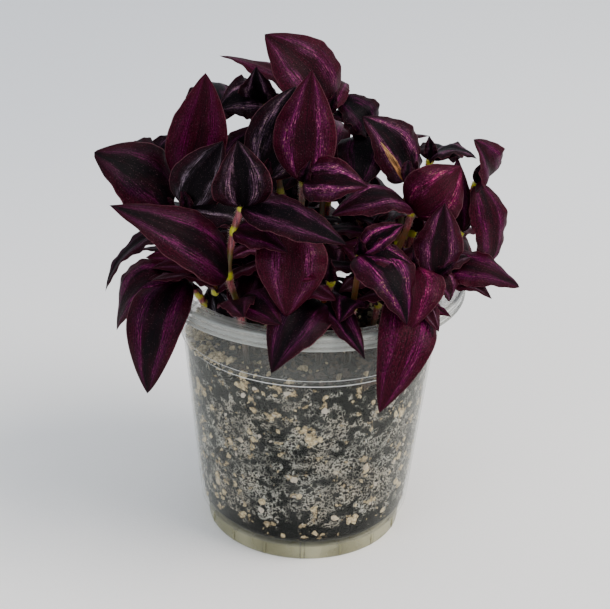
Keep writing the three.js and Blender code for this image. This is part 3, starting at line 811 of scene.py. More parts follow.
def shift(board, geometry, offset):
    return board.add("GeometryNodeSetPosition", {}, {"Geometry": geometry, "Offset": offset})


def coat(board, geometry, material):
    return board.add("GeometryNodeSetMaterial", {}, {"Geometry": geometry, "Material": material})


def set_on(board, points, piece, **turned):
    """A copy of a piece on every point."""
    values = {"Points": points, "Instance": piece, **turned}
    return board.add("GeometryNodeInstanceOnPoints", {}, values)


def real(board, copies):
    """The copies as geometry of their own, because the export drops instances."""
    return board.add("GeometryNodeRealizeInstances", {}, {"Geometry": copies})


def join(board, *parts):
    node = board.tree.nodes.new("GeometryNodeJoinGeometry")
    for part in parts:
        board.tree.links.new(part.socket, node.inputs[0])
    return Wire(board, node.outputs[0])


def smooth(board, geometry):
    return board.add("GeometryNodeSetShadeSmooth", {}, {"Geometry": geometry})


print("tools for trees are ready, and a tree's sizes are its named inputs")

# %% The blade's rule
def blade_grid(board):
    """A flat grid that carries its map, closer drawn towards the margins."""
    size = {"Vertices X": BLADE["rows"], "Vertices Y": BLADE["columns"]}
    mesh, flat = board.add("GeometryNodeMeshGrid", {}, size, output=("Mesh", "UV Map"))
    across = flat.axis("Y") * 2 - 1
    even, packed = 1 - BLADE["packed"], (across * (pi / 2)).math("SINE") * BLADE["packed"]
    place = board.xyz(flat.axis("X"), (across * even + packed) * 0.5 + 0.5, 0.0)
    return store(board, mesh, "blade", place, "FLOAT2", "CORNER")


def blade_sheet(board, leaf_points):
    """Every leaf's middle sheet, moved to where the rule puts it."""
    sheet = real(board, set_on(board, leaf_points, blade_grid(board)))
    place = named(board, "blade", "FLOAT_VECTOR")
    t, v = place.axis("X"), place.axis("Y") * 2 - 1
    long, half, bow, fold, seed = [named(board, n) for n in ("long", "half", "bow", "fold", "seed")]
    sway, twist, hook, taper = [named(board, n) for n in ("sway", "twist", "hook", "taper")]
    vectors = ("root", "along", "across", "up")
    root, along, across, up = [named(board, n, "FLOAT_VECTOR") for n in vectors]
    # The outline, and how far off the midrib a point is. A small crease rounds the fold.
    width = (t + BLADE["sheath"]) ** BLADE["shoulder"] * (1 - t).at_least(0.0) ** taper
    reach = half * width
    away = (v * v + BLADE["crease"] ** 2).math("SQRT") - BLADE["crease"]
    arch = bow * (t ** BLADE["bow_early"] * pi).math("SINE")
    trough = reach * (fold * away - v * v * BLADE["cup"])
    # Waves and frills along the margins, ribs along the blade, and dents all over.
    calm = (t * (1 - t) * 4).at_most(1.0)
    margin = v.math("SIGN")
    ripple = (t * (2 * pi * BLADE["waves"]) + seed + margin).math("SINE") * (BLADE["wave"] * MM)
    frill = (t * (2 * pi * BLADE["frills"]) + seed * 3 + margin * 2).math("SINE")
    wave = ripple * v * v * calm + frill * (BLADE["frill"] * MM) * v ** 4 * calm
    rib = (abs(v) * (2 * pi * BLADE["ribs"])).math("COSINE") * calm * (BLADE["rib"] * MM)
    dent = board.noise(board.xyz(t * 5 + seed, v * 1.6, seed), 1.0, 1.0) - 0.5
    pucker = dent * calm * (BLADE["pucker"] * 2 * MM)
    # The twist turns the section round the midrib, the sway and the hook bend the midrib.
    turn = twist * (t - BLADE["twist_from"])
    side, lift = reach * v, trough + wave + rib + pucker
    tip_drop = hook * (t - BLADE["hook_from"]).at_least(0.0) ** 2 * BLADE["hook"]
    cosine, sine = turn.math("COSINE"), turn.math("SINE")
    outward = side * cosine - lift * sine + sway * (t * pi).math("SINE")
    upward = side * sine + lift * cosine + arch + tip_drop
    position = root.vector("ADD", along.scaled(long * t))
    position = position.vector("ADD", across.scaled(outward))
    position = position.vector("ADD", up.scaled(upward))
    position = position.vector("MAXIMUM", INSIDE[0]).vector("MINIMUM", INSIDE[1])
    return place_at(board, sheet, position), t, v


def blade_skin(board, sheet, t, v, side, material):
    """One side of the blades: the sheet raised along its normal by half the leaf's thickness."""
    edge = 1 - v.math("POWER", BLADE["edge"])
    body = (t * BLADE["base_ease"]).at_most(1.0) * ((1 - t) * BLADE["tip_ease"]).at_most(1.0)
    normal = board.add("GeometryNodeInputNormal")
    raised = shift(board, sheet, normal.scaled(edge * body * (side * HALF_THICK * MM)))
    if side < 0:
        raised = board.add("GeometryNodeFlipFaces", {}, {"Mesh": raised})
    return coat(board, raised, material)


print("the blade's rule is wired from", len(BLADE), "sizes")

# %% [markdown]
# The stem itself is a tube along its chain of edges. Its girth changes along it, with a swelling at
# every joint and a sheath just below it, so the girth is an attribute of the chain's points too.
# Hairs stand on the sheaths: thin three-sided spikes scattered over the skin where `sheath` says so.

# %% The tree that grows a leafy stem
STALK_SIDES = 10
HAIR = {"long": 1.1, "thick": 0.05, "density": 1.6}
SAME_CORNER = 1e-6


def random_value(board, low, high, seed):
    """A random number, or a vector, for each point."""
    settings = {"data_type": "FLOAT_VECTOR" if isinstance(low, tuple) else "FLOAT"}
    return board.add("FunctionNodeRandomValue", settings, {"Min": low, "Max": high, "Seed": seed})


def scatter(board, mesh, density, seed):
    """Points strewn over a mesh, with the mesh's normal and the turn that follows it."""
    values = {"Mesh": mesh, "Density": density, "Seed": seed}
    outputs = ("Points", "Normal", "Rotation")
    return board.add("GeometryNodeDistributePointsOnFaces", {}, values, outputs)


def leafy_stem_tree():
    board, wire = geometry_tree("leafy_stem", {
        "Stalk sides": "Int", "Hair length": "Float", "Hair thickness": "Float",
        "Hairs per area": "Float", "Upper side": MATERIAL, "Lower side": MATERIAL,
        "Skin": MATERIAL, "Hair": MATERIAL})
    plan = wire["Geometry"]
    leaf_points = board.add("GeometryNodeSeparateGeometry", {"domain": "POINT"},
                            {"Geometry": plan, "Selection": named(board, "is_leaf") > 0.5},
                            output="Selection")
    sheet, t, v = blade_sheet(board, leaf_points)
    top = blade_skin(board, sheet, t, v, 1, wire["Upper side"])
    bottom = blade_skin(board, sheet, t, v, -1, wire["Lower side"])
    blades = board.add("GeometryNodeMergeByDistance", {},
                       {"Geometry": join(board, top, bottom), "Distance": SAME_CORNER})
    line = board.add("GeometryNodeMeshToCurve", {}, {"Mesh": plan})
    ring = board.add("GeometryNodeCurvePrimitiveCircle", {},
                     {"Resolution": wire["Stalk sides"], "Radius": 1.0})
    tube = {"Curve": line, "Profile Curve": ring, "Scale": named(board, "girth"), "Fill Caps": True}
    stalk = coat(board, board.add("GeometryNodeCurveToMesh", {}, tube), wire["Skin"])
    density = named(board, "sheath") * wire["Hairs per area"]
    hair_points, normal, _ = scatter(board, stalk, density, 5)
    cone = {"Vertices": 3, "Radius Top": 0.0, "Radius Bottom": wire["Hair thickness"],
            "Depth": wire["Hair length"]}
    spike = board.add("GeometryNodeMeshCone", {}, cone, output="Mesh")
    lean = random_value(board, (-0.5, -0.5, -0.5), (0.5, 0.5, 0.9), 9)
    turn = board.add("FunctionNodeAlignRotationToVector", {"axis": "Z"},
                     {"Vector": normal.vector("ADD", lean)})
    hairs = real(board, set_on(board, hair_points, spike, Rotation=turn))
    return end_tree(board, smooth(board, join(board, blades, stalk, coat(board, hairs, wire["Hair"]))))


stem_tree = leafy_stem_tree()
print("leafy stem tree:", len(stem_tree.nodes), "nodes")

# %% [markdown]
# Each leafy stem has its own look: some leaves are wine-red, some carry strong purple bands, some are
# silvery, and one small leaf has dried up. The table gives a stem's share of each colour, and single
# leaves that differ are named after it.

# %% Looks of the stems
# Share of wine-red, of purple band and of silver in the band.
# stem_front and stem_left_low get low shares, so their low leaves are darker: partly their own colour,
# partly painted shade.
LOOKS = {
    "stem_front": (0.2, 0.4, 0.1), "stem_centre": (1.1, 0.55, 0.1), "stem_front_left": (0.4, 0.45, 0.05),
    "stem_left_low": (0.4, 0.5, 0.0), "stem_left": (0.25, 0.25, 0.1), "stem_front_right": (0.3, 0.9, 0.05),
    "stem_over_rim": (0.85, 0.4, 0.0), "stem_wine": (0.95, 0.4, 0.0), "stem_silver": (0.0, 0.5, 1.0),
    "stem_lit": (1.0, 0.9, 0.1), "stem_top": (0.7, 0.5, 0.0), "stem_behind_lit": (0.05, 0.5, 0.6),
    "stem_brown": (0.0, 0.5, 0.6), "stem_dark": (0.1, 0.3, 0.2), "stem_left_back": (0.1, 0.3, 0.4),
    "stem_rose": (0.9, 0.6, 0.0), "stem_upright_right": (0.5, 0.5, 0.2),
    "stem_far_right": (0.65, 0.4, 0.0), "stem_right_low": (0.6, 0.4, 0.0),
    "stem_purple": (0.3, 0.7, 0.2), "stem_right_back": (0.1, 0.4, 0.4), "stem_black": (0.0, 0.25, 0.1),
}
ODD_LEAVES = {
    ("stem_top", 0): (0.8, 0.36, 0.1), ("stem_front_left", 1): (0.1, 0.35, 0.2),
    ("stem_front_left", 2): (0.0, 0.45, 0.6), ("stem_rose", 0): (1.9, 0.6, 0.0),
    ("stem_rose", 1): (0.3, 0.8, 0.2), ("stem_over_rim", 0): (1.8, 0.9, 0.0),
    ("stem_lit", 1): (0.5, 1.0, 0.2),
}
# Young leaves get low shares, so they are nearly black: partly painted shade inside the bush.
YOUNG_SHADE_LOOK = (0.15, 0.2, 0.1)
# A leaf of a fan draws its shares from the first range, and every share is scaled by the second.
WILD_LOOK = (0.25, 0.75)
LOOK_STRAY = (0.7, 1.3)
DRIED_LEAF = ("stem_rose", 2)
DRIED_NARROW = 0.68
TONE_STEP = 1.7
print("looks:", len(LOOKS), "stems and", len(ODD_LEAVES), "odd leaves")

# %% [markdown]
# The plan mesh of a stem holds its line and its leaves. Along the line go the girth, with its
# swellings at the joints, and where the sheaths are. Each leaf gets a slight sway, twist and hook of
# its own, so that no two blades look stamped from one mould.

# %% The plan mesh of a stem
SWAY, TWIST, HOOK, HOOK_DOWN = 0.045, 0.5, 1.6, 0.8
GIRTH = 1.25
SWELL, SWELL_REACH = 0.35, 2.0
SHEATH_SKIN, SHEATH_LONG, SHEATH_FADE = 0.18, 8.0, 2.0
JOINT_HALF, NO_JOINT = 0.5, 99
FOOT_DEPTH = 78
LINE_SPACING = 1.2


def smooth_line(points):
    """The centripetal curve through the points, as a close row of points."""
    p = [Vector(q) for q in points]
    p = [2 * p[0] - p[1], *p, 2 * p[-1] - p[-2]]
    row = []
    for a, b, c, d in zip(p, p[1:], p[2:], p[3:]):
        ab, bc, cd = [(m - n).length ** 0.5 for m, n in ((a, b), (b, c), (c, d))]
        out = ((b - a) / ab - (c - a) / (ab + bc) + (c - b) / bc) * bc
        into = ((c - b) / bc - (d - b) / (bc + cd) + (d - c) / cd) * bc
        steps = max(2, round((c - b).length / LINE_SPACING))
        for i in range(steps):
            s = i / steps
            square, cube = s ** 2, s ** 3
            row.append(b * (2 * cube - 3 * square + 1) + out * (cube - 2 * square + s)
                       + c * (-2 * cube + 3 * square) + into * (cube - square))
    return row + [p[-2]]


def blade_axes(leaf):
    along = leaf["toward"]
    up = (leaf["face"] - along * leaf["face"].dot(along)).normalized()
    return along, up.cross(along), up


def write(mesh, name, values):
    """Stores a number or a vector for the mesh's last points. The points before get zeros."""
    values = np.array(values, np.float32)
    blank = np.zeros((len(mesh.vertices) - len(values), *values.shape[1:]), np.float32)
    kind, field = ("FLOAT_VECTOR", "vector") if values.ndim == 2 else ("FLOAT", "value")
    data = mesh.attributes.new(name, kind, "POINT").data
    data.foreach_set(field, np.concatenate([blank, values]).ravel())


def leaf_row(name, leaf, numbers):
    """What a leaf point carries: the blade's place and sizes in metres, and its colours."""
    own_name = (name, leaf["seed"] % NUMBERS_PER_STEM)
    stray = [between(LOOK_STRAY, next(numbers)) for _ in range(3)]
    if leaf["kind"] == "wild":
        shares = [between(WILD_LOOK, next(numbers)) for _ in range(3)]
    elif leaf["kind"] == "young":
        shares = YOUNG_SHADE_LOOK
    else:
        shares = ODD_LEAVES.get(own_name, LOOKS[name])
    dry = float(own_name == DRIED_LEAF and leaf["kind"] == "planned")
    wine, purple, silver = [share * s for share, s in zip(shares, stray)]
    along, across, up = blade_axes(leaf)
    sway, twist, hook = [2 * next(numbers) - 1 for _ in range(3)]
    taper = between(TAPERS, next(numbers))
    half = leaf["wide"] / 2 / widest(taper) * (1 - DRIED_NARROW * dry)
    return {
        "sway": sway * SWAY * leaf["long"] * MM, "twist": twist * TWIST,
        "hook": (hook - HOOK_DOWN) * HOOK * MM, "long": leaf["long"] * MM, "half": half * MM,
        "taper": taper, "bow": leaf["bow"] * MM, "fold": math.tan(radians(leaf["fold"])),
        "seed": leaf["seed"], "tone": leaf["seed"] * TONE_STEP,
        "wine": wine, "purple": purple, "silver": silver, "dry": dry,
        "root": leaf["root"] * MM, "along": along, "across": across, "up": up,
    }


def stem_plan(name, stem):
    """The small mesh that a leafy stem grows from: its line, then a point for each leaf."""
    line = smooth_line([(*stem["path"][0][:2], FOOT_DEPTH), *stem["path"]])
    joints = [Vector(p) for p in stem["path"][1:]] + [leaf["root"] for leaf in stem["young"]]
    leaves = stem["leaves"] + stem["young"]
    mesh = bpy.data.meshes.new(name)
    edges = [(i, i + 1) for i in range(len(line) - 1)]
    mesh.from_pydata([p * MM for p in line + [leaf["root"] for leaf in leaves]], edges, [])
    near = np.array([min((p - j).length for j in joints) for p in line])
    # How far below the next joint a point is, and far too much where there is none above it.
    below = [min(j.z - p.z if p.z < j.z + JOINT_HALF else NO_JOINT for j in joints) for p in line]
    swell = np.exp(-(near / SWELL_REACH) ** 2)
    sheath = np.clip((SHEATH_LONG - np.array(below)) / SHEATH_FADE, 0, 1)
    girth = (GIRTH + SWELL * swell + SHEATH_SKIN * sheath) * MM
    for key, values in {"girth": girth, "joint": swell, "sheath": sheath}.items():
        write(mesh, key, [*values, *[0.0] * len(leaves)])
    write(mesh, "is_leaf", [1.0] * len(leaves))
    numbers = random_numbers("look", list(stems).index(name))
    rows = [leaf_row(name, leaf, numbers) for leaf in leaves]
    for key in rows[0]:
        write(mesh, key, [row[key] for row in rows])
    return mesh


def as_piece(mesh, name, slot, *nodes):
    """Makes a mesh a piece of the object, which rides on it and stands for these CAD nodes."""
    mesh.name = name
    piece = in_scene(name, mesh)
    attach(piece, ROOT)
    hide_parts(*nodes)


print("a stem's line has a point every", LINE_SPACING, "mm")

# %% Grow every leafy stem
stem_values = {
    "Stalk sides": STALK_SIDES, "Hair length": HAIR["long"] * MM, "Hair thickness": HAIR["thick"] * MM,
    "Hairs per area": HAIR["density"] / MM ** 2, "Upper side": upper, "Lower side": under,
    "Skin": skin, "Hair": hair,
}
triangles = 0
for name, stem in stems.items():
    mesh = grow(stem_tree, stem_plan(name, stem), stem_values)
    triangles += len(mesh.loop_triangles)
    as_piece(mesh, name.replace("stem_", "leafy_"), "leaf", name)
print("leafy stems:", len(stems), "triangles:", triangles)

# %% [markdown]
# ## The clear pot
# A nursery pot of thin clear plastic: a tapered body, a step and a nearly upright collar above it, a
# flat flange with a turned-down lip, and a foot ring with small upright ribs. It is a wall turned
# round an axis, so its outline is drawn once as a chain of corners, in radius and height. Every
# corner is rounded, because a moulded edge is never sharp and the round is what catches the light.

# %% The pot's outline
POT_OUTLINE = [
    (0, 6.2), (41, 6.2), (41, 0), (42.3, 0), (42.5, 6.4), (45.8, 10.4), (47.5, 28), (53.6, 89.2),
    (54.8, 90.2), (54.85, 91.4), (54.6, 91.9), (54.9, 92.4), (55.9, 114.4), (64, 114.7), (64, 110.3),
    (65, 110.3), (65, 112.7), (64.75, 112.95), (65, 113.3), (65, 115.8), (64.4, 116.4), (61.4, 116.15),
    (61.1, 115.95), (60.8, 116.05), (56.3, 115.6), (55.3, 114.6), (54.2, 91.2), (53, 90), (46.9, 28.4),
    (45, 11.2), (41, 7.4), (0, 7.4),
]
CORNER = 0.8
CORNER_STEPS = 3
CORNER_SHARE = 0.45
TURN_SIDES = 160


def rounded(outline):
    """The chain with every inner corner replaced by a short arc."""
    p = [Vector(q) for q in outline]
    row = [p[0]]
    for a, b, c in zip(p, p[1:], p[2:]):
        start, end = [b + (q - b).normalized() * min(CORNER, (q - b).length * CORNER_SHARE) for q in (a, c)]
        for i in range(CORNER_STEPS + 1):
            s = i / CORNER_STEPS
            row.append(start * (1 - s) ** 2 + b * (2 * s * (1 - s)) + end * s ** 2)
    return [*row, p[-1]]


def lathe(name, outline, sides):
    """Turns a chain of radius and height round the axis. A radius of 0 is closed to a point."""
    verts, rings = [], []
    for r, z in outline:
        count = 1 if r == 0 else sides
        rings.append([len(verts) + i % count for i in range(sides)])
        for i in range(count):
            turn = 2 * pi * i / sides
            verts.append((r * cos(turn) * MM, r * sin(turn) * MM, z * MM))
    faces = []
    for low, high in zip(rings, rings[1:]):
        for i in range(sides):
            j = (i + 1) % sides
            faces.append(list(dict.fromkeys([low[i], low[j], high[j], high[i]])))
    mesh = bpy.data.meshes.new(name)
    mesh.from_pydata(verts, [], faces)
    mesh.validate()
    return mesh


pot_chain = rounded(POT_OUTLINE)
pot_shell = lathe("pot_shell", pot_chain, TURN_SIDES)
print("pot outline:", len(POT_OUTLINE), "corners,", len(pot_chain), "points once rounded")

# %% [markdown]
# The drain holes and the foot's ribs repeat round the axis, so a Geometry Nodes tree sets them on
# circles: round drills are cut out of the floor with a boolean, and small upright bars are joined to
# the foot ring.

# %% Holes and ribs round the axis
DRAIN = {"count": 6, "radius": 3.2, "circle": 27, "sides": 32, "deep": 6, "middle": 7}
RIBS = {"count": 16, "wide": 1.1, "deep": 0.9, "tall": 5.2, "circle": 42.25, "middle": 3.1, "end": 0.55}


def circle_of(board, count, radius, height, piece):
    """Copies of a mesh on a circle, each turned to face away from the axis."""
    ring = board.add("GeometryNodeMeshCircle", {}, {"Vertices": count, "Radius": radius})
    angle = board.add("GeometryNodeInputIndex") * (2 * pi) / count
    copies = real(board, set_on(board, ring, piece, Rotation=board.xyz(0.0, 0.0, angle)))
    values = {"Geometry": copies, "Translation": board.xyz(0.0, 0.0, height * MM)}
    return board.add("GeometryNodeTransform", {}, values)


def pot_tree():
    board, wire = geometry_tree("pot_details", {
        "Holes": "Int", "Hole radius": "Float", "Hole circle": "Float", "Ribs": "Int",
        "Rib circle": "Float", "Plastic": MATERIAL})
    size = {"Vertices": DRAIN["sides"], "Radius": wire["Hole radius"], "Depth": DRAIN["deep"] * MM}
    drill = board.add("GeometryNodeMeshCylinder", {}, size, output="Mesh")
    drills = circle_of(board, wire["Holes"], wire["Hole circle"], DRAIN["middle"], drill)
    cut = board.add("GeometryNodeMeshBoolean", {"operation": "DIFFERENCE", "solver": "EXACT"},
                    {"Mesh 1": wire["Geometry"], "Mesh 2": drills}, output="Mesh")
    size = tuple(RIBS[k] * MM for k in ("deep", "wide", "tall"))
    bar = board.add("GeometryNodeMeshCube", {},
                    {"Size": size, "Vertices X": 3, "Vertices Y": 3, "Vertices Z": 5}, output="Mesh")
    # A rib gets slimmer towards its two ends.
    place = board.add("GeometryNodeInputPosition")
    slim = abs(place.axis("Z")).step(RIBS["tall"] * 0.3 * MM, RIBS["tall"] * 0.5 * MM, 1.0, RIBS["end"])
    bar = place_at(board, bar, place.vector("MULTIPLY", board.xyz(slim, slim, 1.0)))
    ribs = circle_of(board, wire["Ribs"], wire["Rib circle"], RIBS["middle"], bar)
    return end_tree(board, coat(board, join(board, cut, ribs), wire["Plastic"]))


print("a hole every", 360 / DRAIN["count"], "degrees and a rib every", 360 / RIBS["count"])

# %% [markdown]
# The plastic is clear, but it has a veil: it is milky where one looks along it, at the flange, the lip
# and the step, where it is thick, and in the foot ring, which is a dull khaki. The lines at the step,
# just above it and at the flange's inner edge are painted near-white as highlights. The veil is the
# material's alpha. It takes the height and the distance from the axis from Object coordinates, and
# the glancing view from Layer Weight.

# %% Clear plastic
# Heights and distances from the axis in millimetres.
FLANGE_Z, FLANGE_R, LIP_R = (114.2, 114.8), (55.6, 56.6), (63.2, 63.9)
LIP_LINES_Z, LIP_TOP_Z = (110.6, 113.1), (115.2, 115.9)
STEP_Z, STEP_R, THIN_Z, THIN_R, EDGE_R = 89.5, (53.25, 53.5), 92.3, (54.4, 54.65), 56.2
FOOT_Z = (6.3, 7.0)
SHARP_ANGLE = 40


def clear_plastic():
    material, board = new_material("clear_plastic")
    place = board.here()
    x, y, z, r = place.measured()
    facing = board.add("ShaderNodeLayerWeight", {}, {"Blend": 0.5}, output="Facing")
    cloud = board.noise(place, 45.0, 3.0)
    scuffs = board.noise(place.vector("MULTIPLY", (1.0, 1.0, 0.12)), 900.0)
    turn_lines = (r * 2.1 + cloud).math("SINE") * 0.5 + 0.5
    flange = z.step(*FLANGE_Z) * r.step(*FLANGE_R)
    lip = r.step(*LIP_R)
    low_line, high_line = [z.line(height, 0.3, 0.7) for height in LIP_LINES_Z]
    lip_lines = (low_line + high_line + z.step(*LIP_TOP_Z)).at_most(1.0)
    step_line = z.line(STEP_Z, 0.25, 0.6) * r.step(*STEP_R)
    thin_line = z.line(THIN_Z, 0.1, 0.3) * r.step(*THIN_R)
    edge_line = r.line(EDGE_R, 0.2, 0.6) * z.step(*FLANGE_Z)
    foot = z.fade(*FOOT_Z)
    # How far round a rib's spacing a point is, for the painted shadow lines on both sides of each rib.
    share = (y.math("ARCTAN2", x) * (RIBS["count"] / (2 * pi))).math("FRACT")
    painted_rib_shadow = share.at_most(1 - share).line(0.055, 0.01, 0.03) * foot
    veil = cloud.step(0.35, 0.7) * 0.02 + scuffs.step(0.62, 0.75) * 0.04 + 0.012
    veil = veil * z.step(9.0, 34.0, 0.2, 1.0) + z.step(89.0, 92.0) * 0.05
    veil = veil + (facing ** 4) * z.step(7.0, 16.0, 0.2, 0.5)
    thick_parts = (flange * (0.42 + turn_lines * 0.12), lip * (0.3 + lip_lines * 0.6), step_line * 0.62,
                   thin_line * 0.5, edge_line * 0.7, foot * (0.5 + cloud * 0.2))
    for part in thick_parts:
        veil = veil.at_least(part)
    milk = board.mix(cloud, "#a9aba4", "#c3c4bc")
    milk = board.mix(lip * lip_lines, milk, "#8f928d")
    # Painted highlights: the step, the thin line above it and the flange's inner edge are painted
    # near-white.
    milk = board.mix(step_line.at_least(thin_line).at_least(edge_line), milk, "#eef0ee")
    khaki = board.mix(cloud.step(0.3, 0.7), "#84815f", "#b0ad8c")
    khaki = board.mix(painted_rib_shadow * 0.4, khaki, "#5d5a43")
    finish_shader(board, Base_Color=board.mix(foot, milk, khaki), Alpha=veil.at_most(0.95),
                  Roughness=0.18 + cloud * 0.16, IOR=1.49, Normal=bump(board, cloud + scuffs * 0.1, 0.4))
    return material


pot_mesh = grow(pot_tree(), pot_shell, {
    "Holes": DRAIN["count"], "Hole radius": DRAIN["radius"] * MM, "Hole circle": DRAIN["circle"] * MM,
    "Ribs": RIBS["count"], "Rib circle": RIBS["circle"] * MM, "Plastic": clear_plastic()})
pot_mesh.shade_smooth()
pot_mesh.set_sharp_from_angle(angle=radians(SHARP_ANGLE))
as_piece(pot_mesh, "clear_pot", "pot", "pot")
print("clear pot:", len(pot_mesh.polygons), "faces")

# %% [markdown]
# ## The soil
# Through the wall one sees charcoal-black mix with pale bits of bark and perlite, and where the mix
# doesn't touch the plastic, fine whitish squiggles of dried mineral. The column is a turned shape
# whose surface a Geometry Nodes tree roughens. The same tree presses flat bits against the wall and
# scatters bark over the top.

# %% The soil's shape
SOIL_OUTLINE = [
    (0, 7.75), (20, 7.75), (40.7, 7.75), (44.5, 11.8), (46.5, 28.6), (52.45, 87.5), (47, 89.5), (37, 90),
    (24, 90.7), (11, 91), (0, 91),
]
SOIL_TOP, SOIL_EDGE = 90, 87.85
SOIL_STEP = 0.9
SOIL_SIDES = 240


def soil_relief(x, y):
    """The same lumps as the solid model's."""
    return 0.9 * sin(0.31 * x + 1.3) * sin(0.37 * y) + 0.6 * sin(0.8 * x - 0.55 * y)


def close_chain(outline):
    """The same chain with points no further apart than the step."""
    row = []
    for (r1, z1), (r2, z2) in zip(outline, outline[1:]):
        steps = max(1, math.ceil(math.dist((r1, z1), (r2, z2)) / SOIL_STEP))
        row += [(r1 + (r2 - r1) * i / steps, z1 + (z2 - z1) * i / steps) for i in range(steps)]
    return [*row, outline[-1]]


soil_mesh = lathe("soil_column", [SOIL_OUTLINE[0], *close_chain(SOIL_OUTLINE[1:])], SOIL_SIDES)
for v in soil_mesh.vertices:
    if v.co.z > SOIL_EDGE * MM:
        v.co.z += soil_relief(v.co.x / MM, v.co.y / MM) * MM
print("soil column:", len(soil_mesh.polygons), "faces")

# %% The big bits on the soil
CHUNKS = 12
CHUNK_FREE = 3.3
CHUNK_SIZE, CHUNK_GROWTH = 1.6, 1.8
CHUNK_RING, CHUNK_SPREAD = 16, 30
CHUNK_RISE = 0.1

feet = [Vector((*stem["path"][0][:2], 0)) for stem in stems.values()]
chunk_numbers = random_numbers("big bits")
chunks = []
while len(chunks) < CHUNKS:
    at, away, size, spin = [next(chunk_numbers) for _ in range(4)]
    r = CHUNK_SIZE + CHUNK_GROWTH * size ** 2
    spot = look(360 * at, 0) * (CHUNK_RING + CHUNK_SPREAD * math.sqrt(away))
    if all((spot - foot).length > r + CHUNK_FREE for foot in feet):
        spot.z = SOIL_TOP + soil_relief(spot.x, spot.y) + CHUNK_RISE * r
        chunks.append((spot, r, 6 * spin))
print("big bits:", len(chunks), "the largest", round(max(c[1] for c in chunks), 1), "mm in radius")

# %% [markdown]
# The tree roughens the column's wall inwards and its top both ways, scatters points over each, and
# sets a lump on every point. The lumps are plain spheres with few faces. Once they are real geometry,
# noise pushes their corners about, so no two stay alike.

# %% Bits in the soil
BITS = {"wall_density": 0.42, "top_density": 0.05, "wall_size": (0.6, 2.0), "top_size": (0.7, 2.3)}
FLAT, LOOSE, BIG = (1.0, 0.8, 0.4), (1.2, 0.9, 0.7), (1.2, 0.9, 0.75)
TURN = 6.3
SHOVE = 2.8
# The pot's inner wall, which no bit passes: its radius at a height, and how it widens with height.
WALL_R, WALL_Z, WALL_SLOPE = 46.8, 28.4, 0.099
CRUMBLES = (170.0, 5.0, 0.65)


def stretched(board, size, shape):
    return board.xyz(*[size * share for share in shape])


def lumps(board, points, low, high, shape, turn, seed):
    """Lumps of random size on points, flattened by a shape and turned."""
    size = (random_value(board, 0.0, 1.0, seed) ** 2.5 * (high - low) + low) * MM
    values = {"Segments": 7, "Rings": 5, "Radius": 1.0}
    lump = board.add("GeometryNodeMeshUVSphere", {}, values, output="Mesh")
    copies = set_on(board, points, lump, Rotation=turn, Scale=stretched(board, size, shape))
    spin = board.xyz(0.0, 0.0, random_value(board, 0.0, TURN, seed + 1))
    values = {"Instances": copies, "Rotation": spin, "Local Space": True}
    return board.add("GeometryNodeRotateInstances", {}, values)


def strewn(board, mesh, density, seed, tints):
    """Points strewn over a mesh, each with a tint, and their turns."""
    points, _, turn = scatter(board, mesh, density, seed)
    return store(board, points, "tint", random_value(board, *tints, seed + 1)), turn


print("bits per square centimetre of wall, at most:", BITS["wall_density"] * 100)

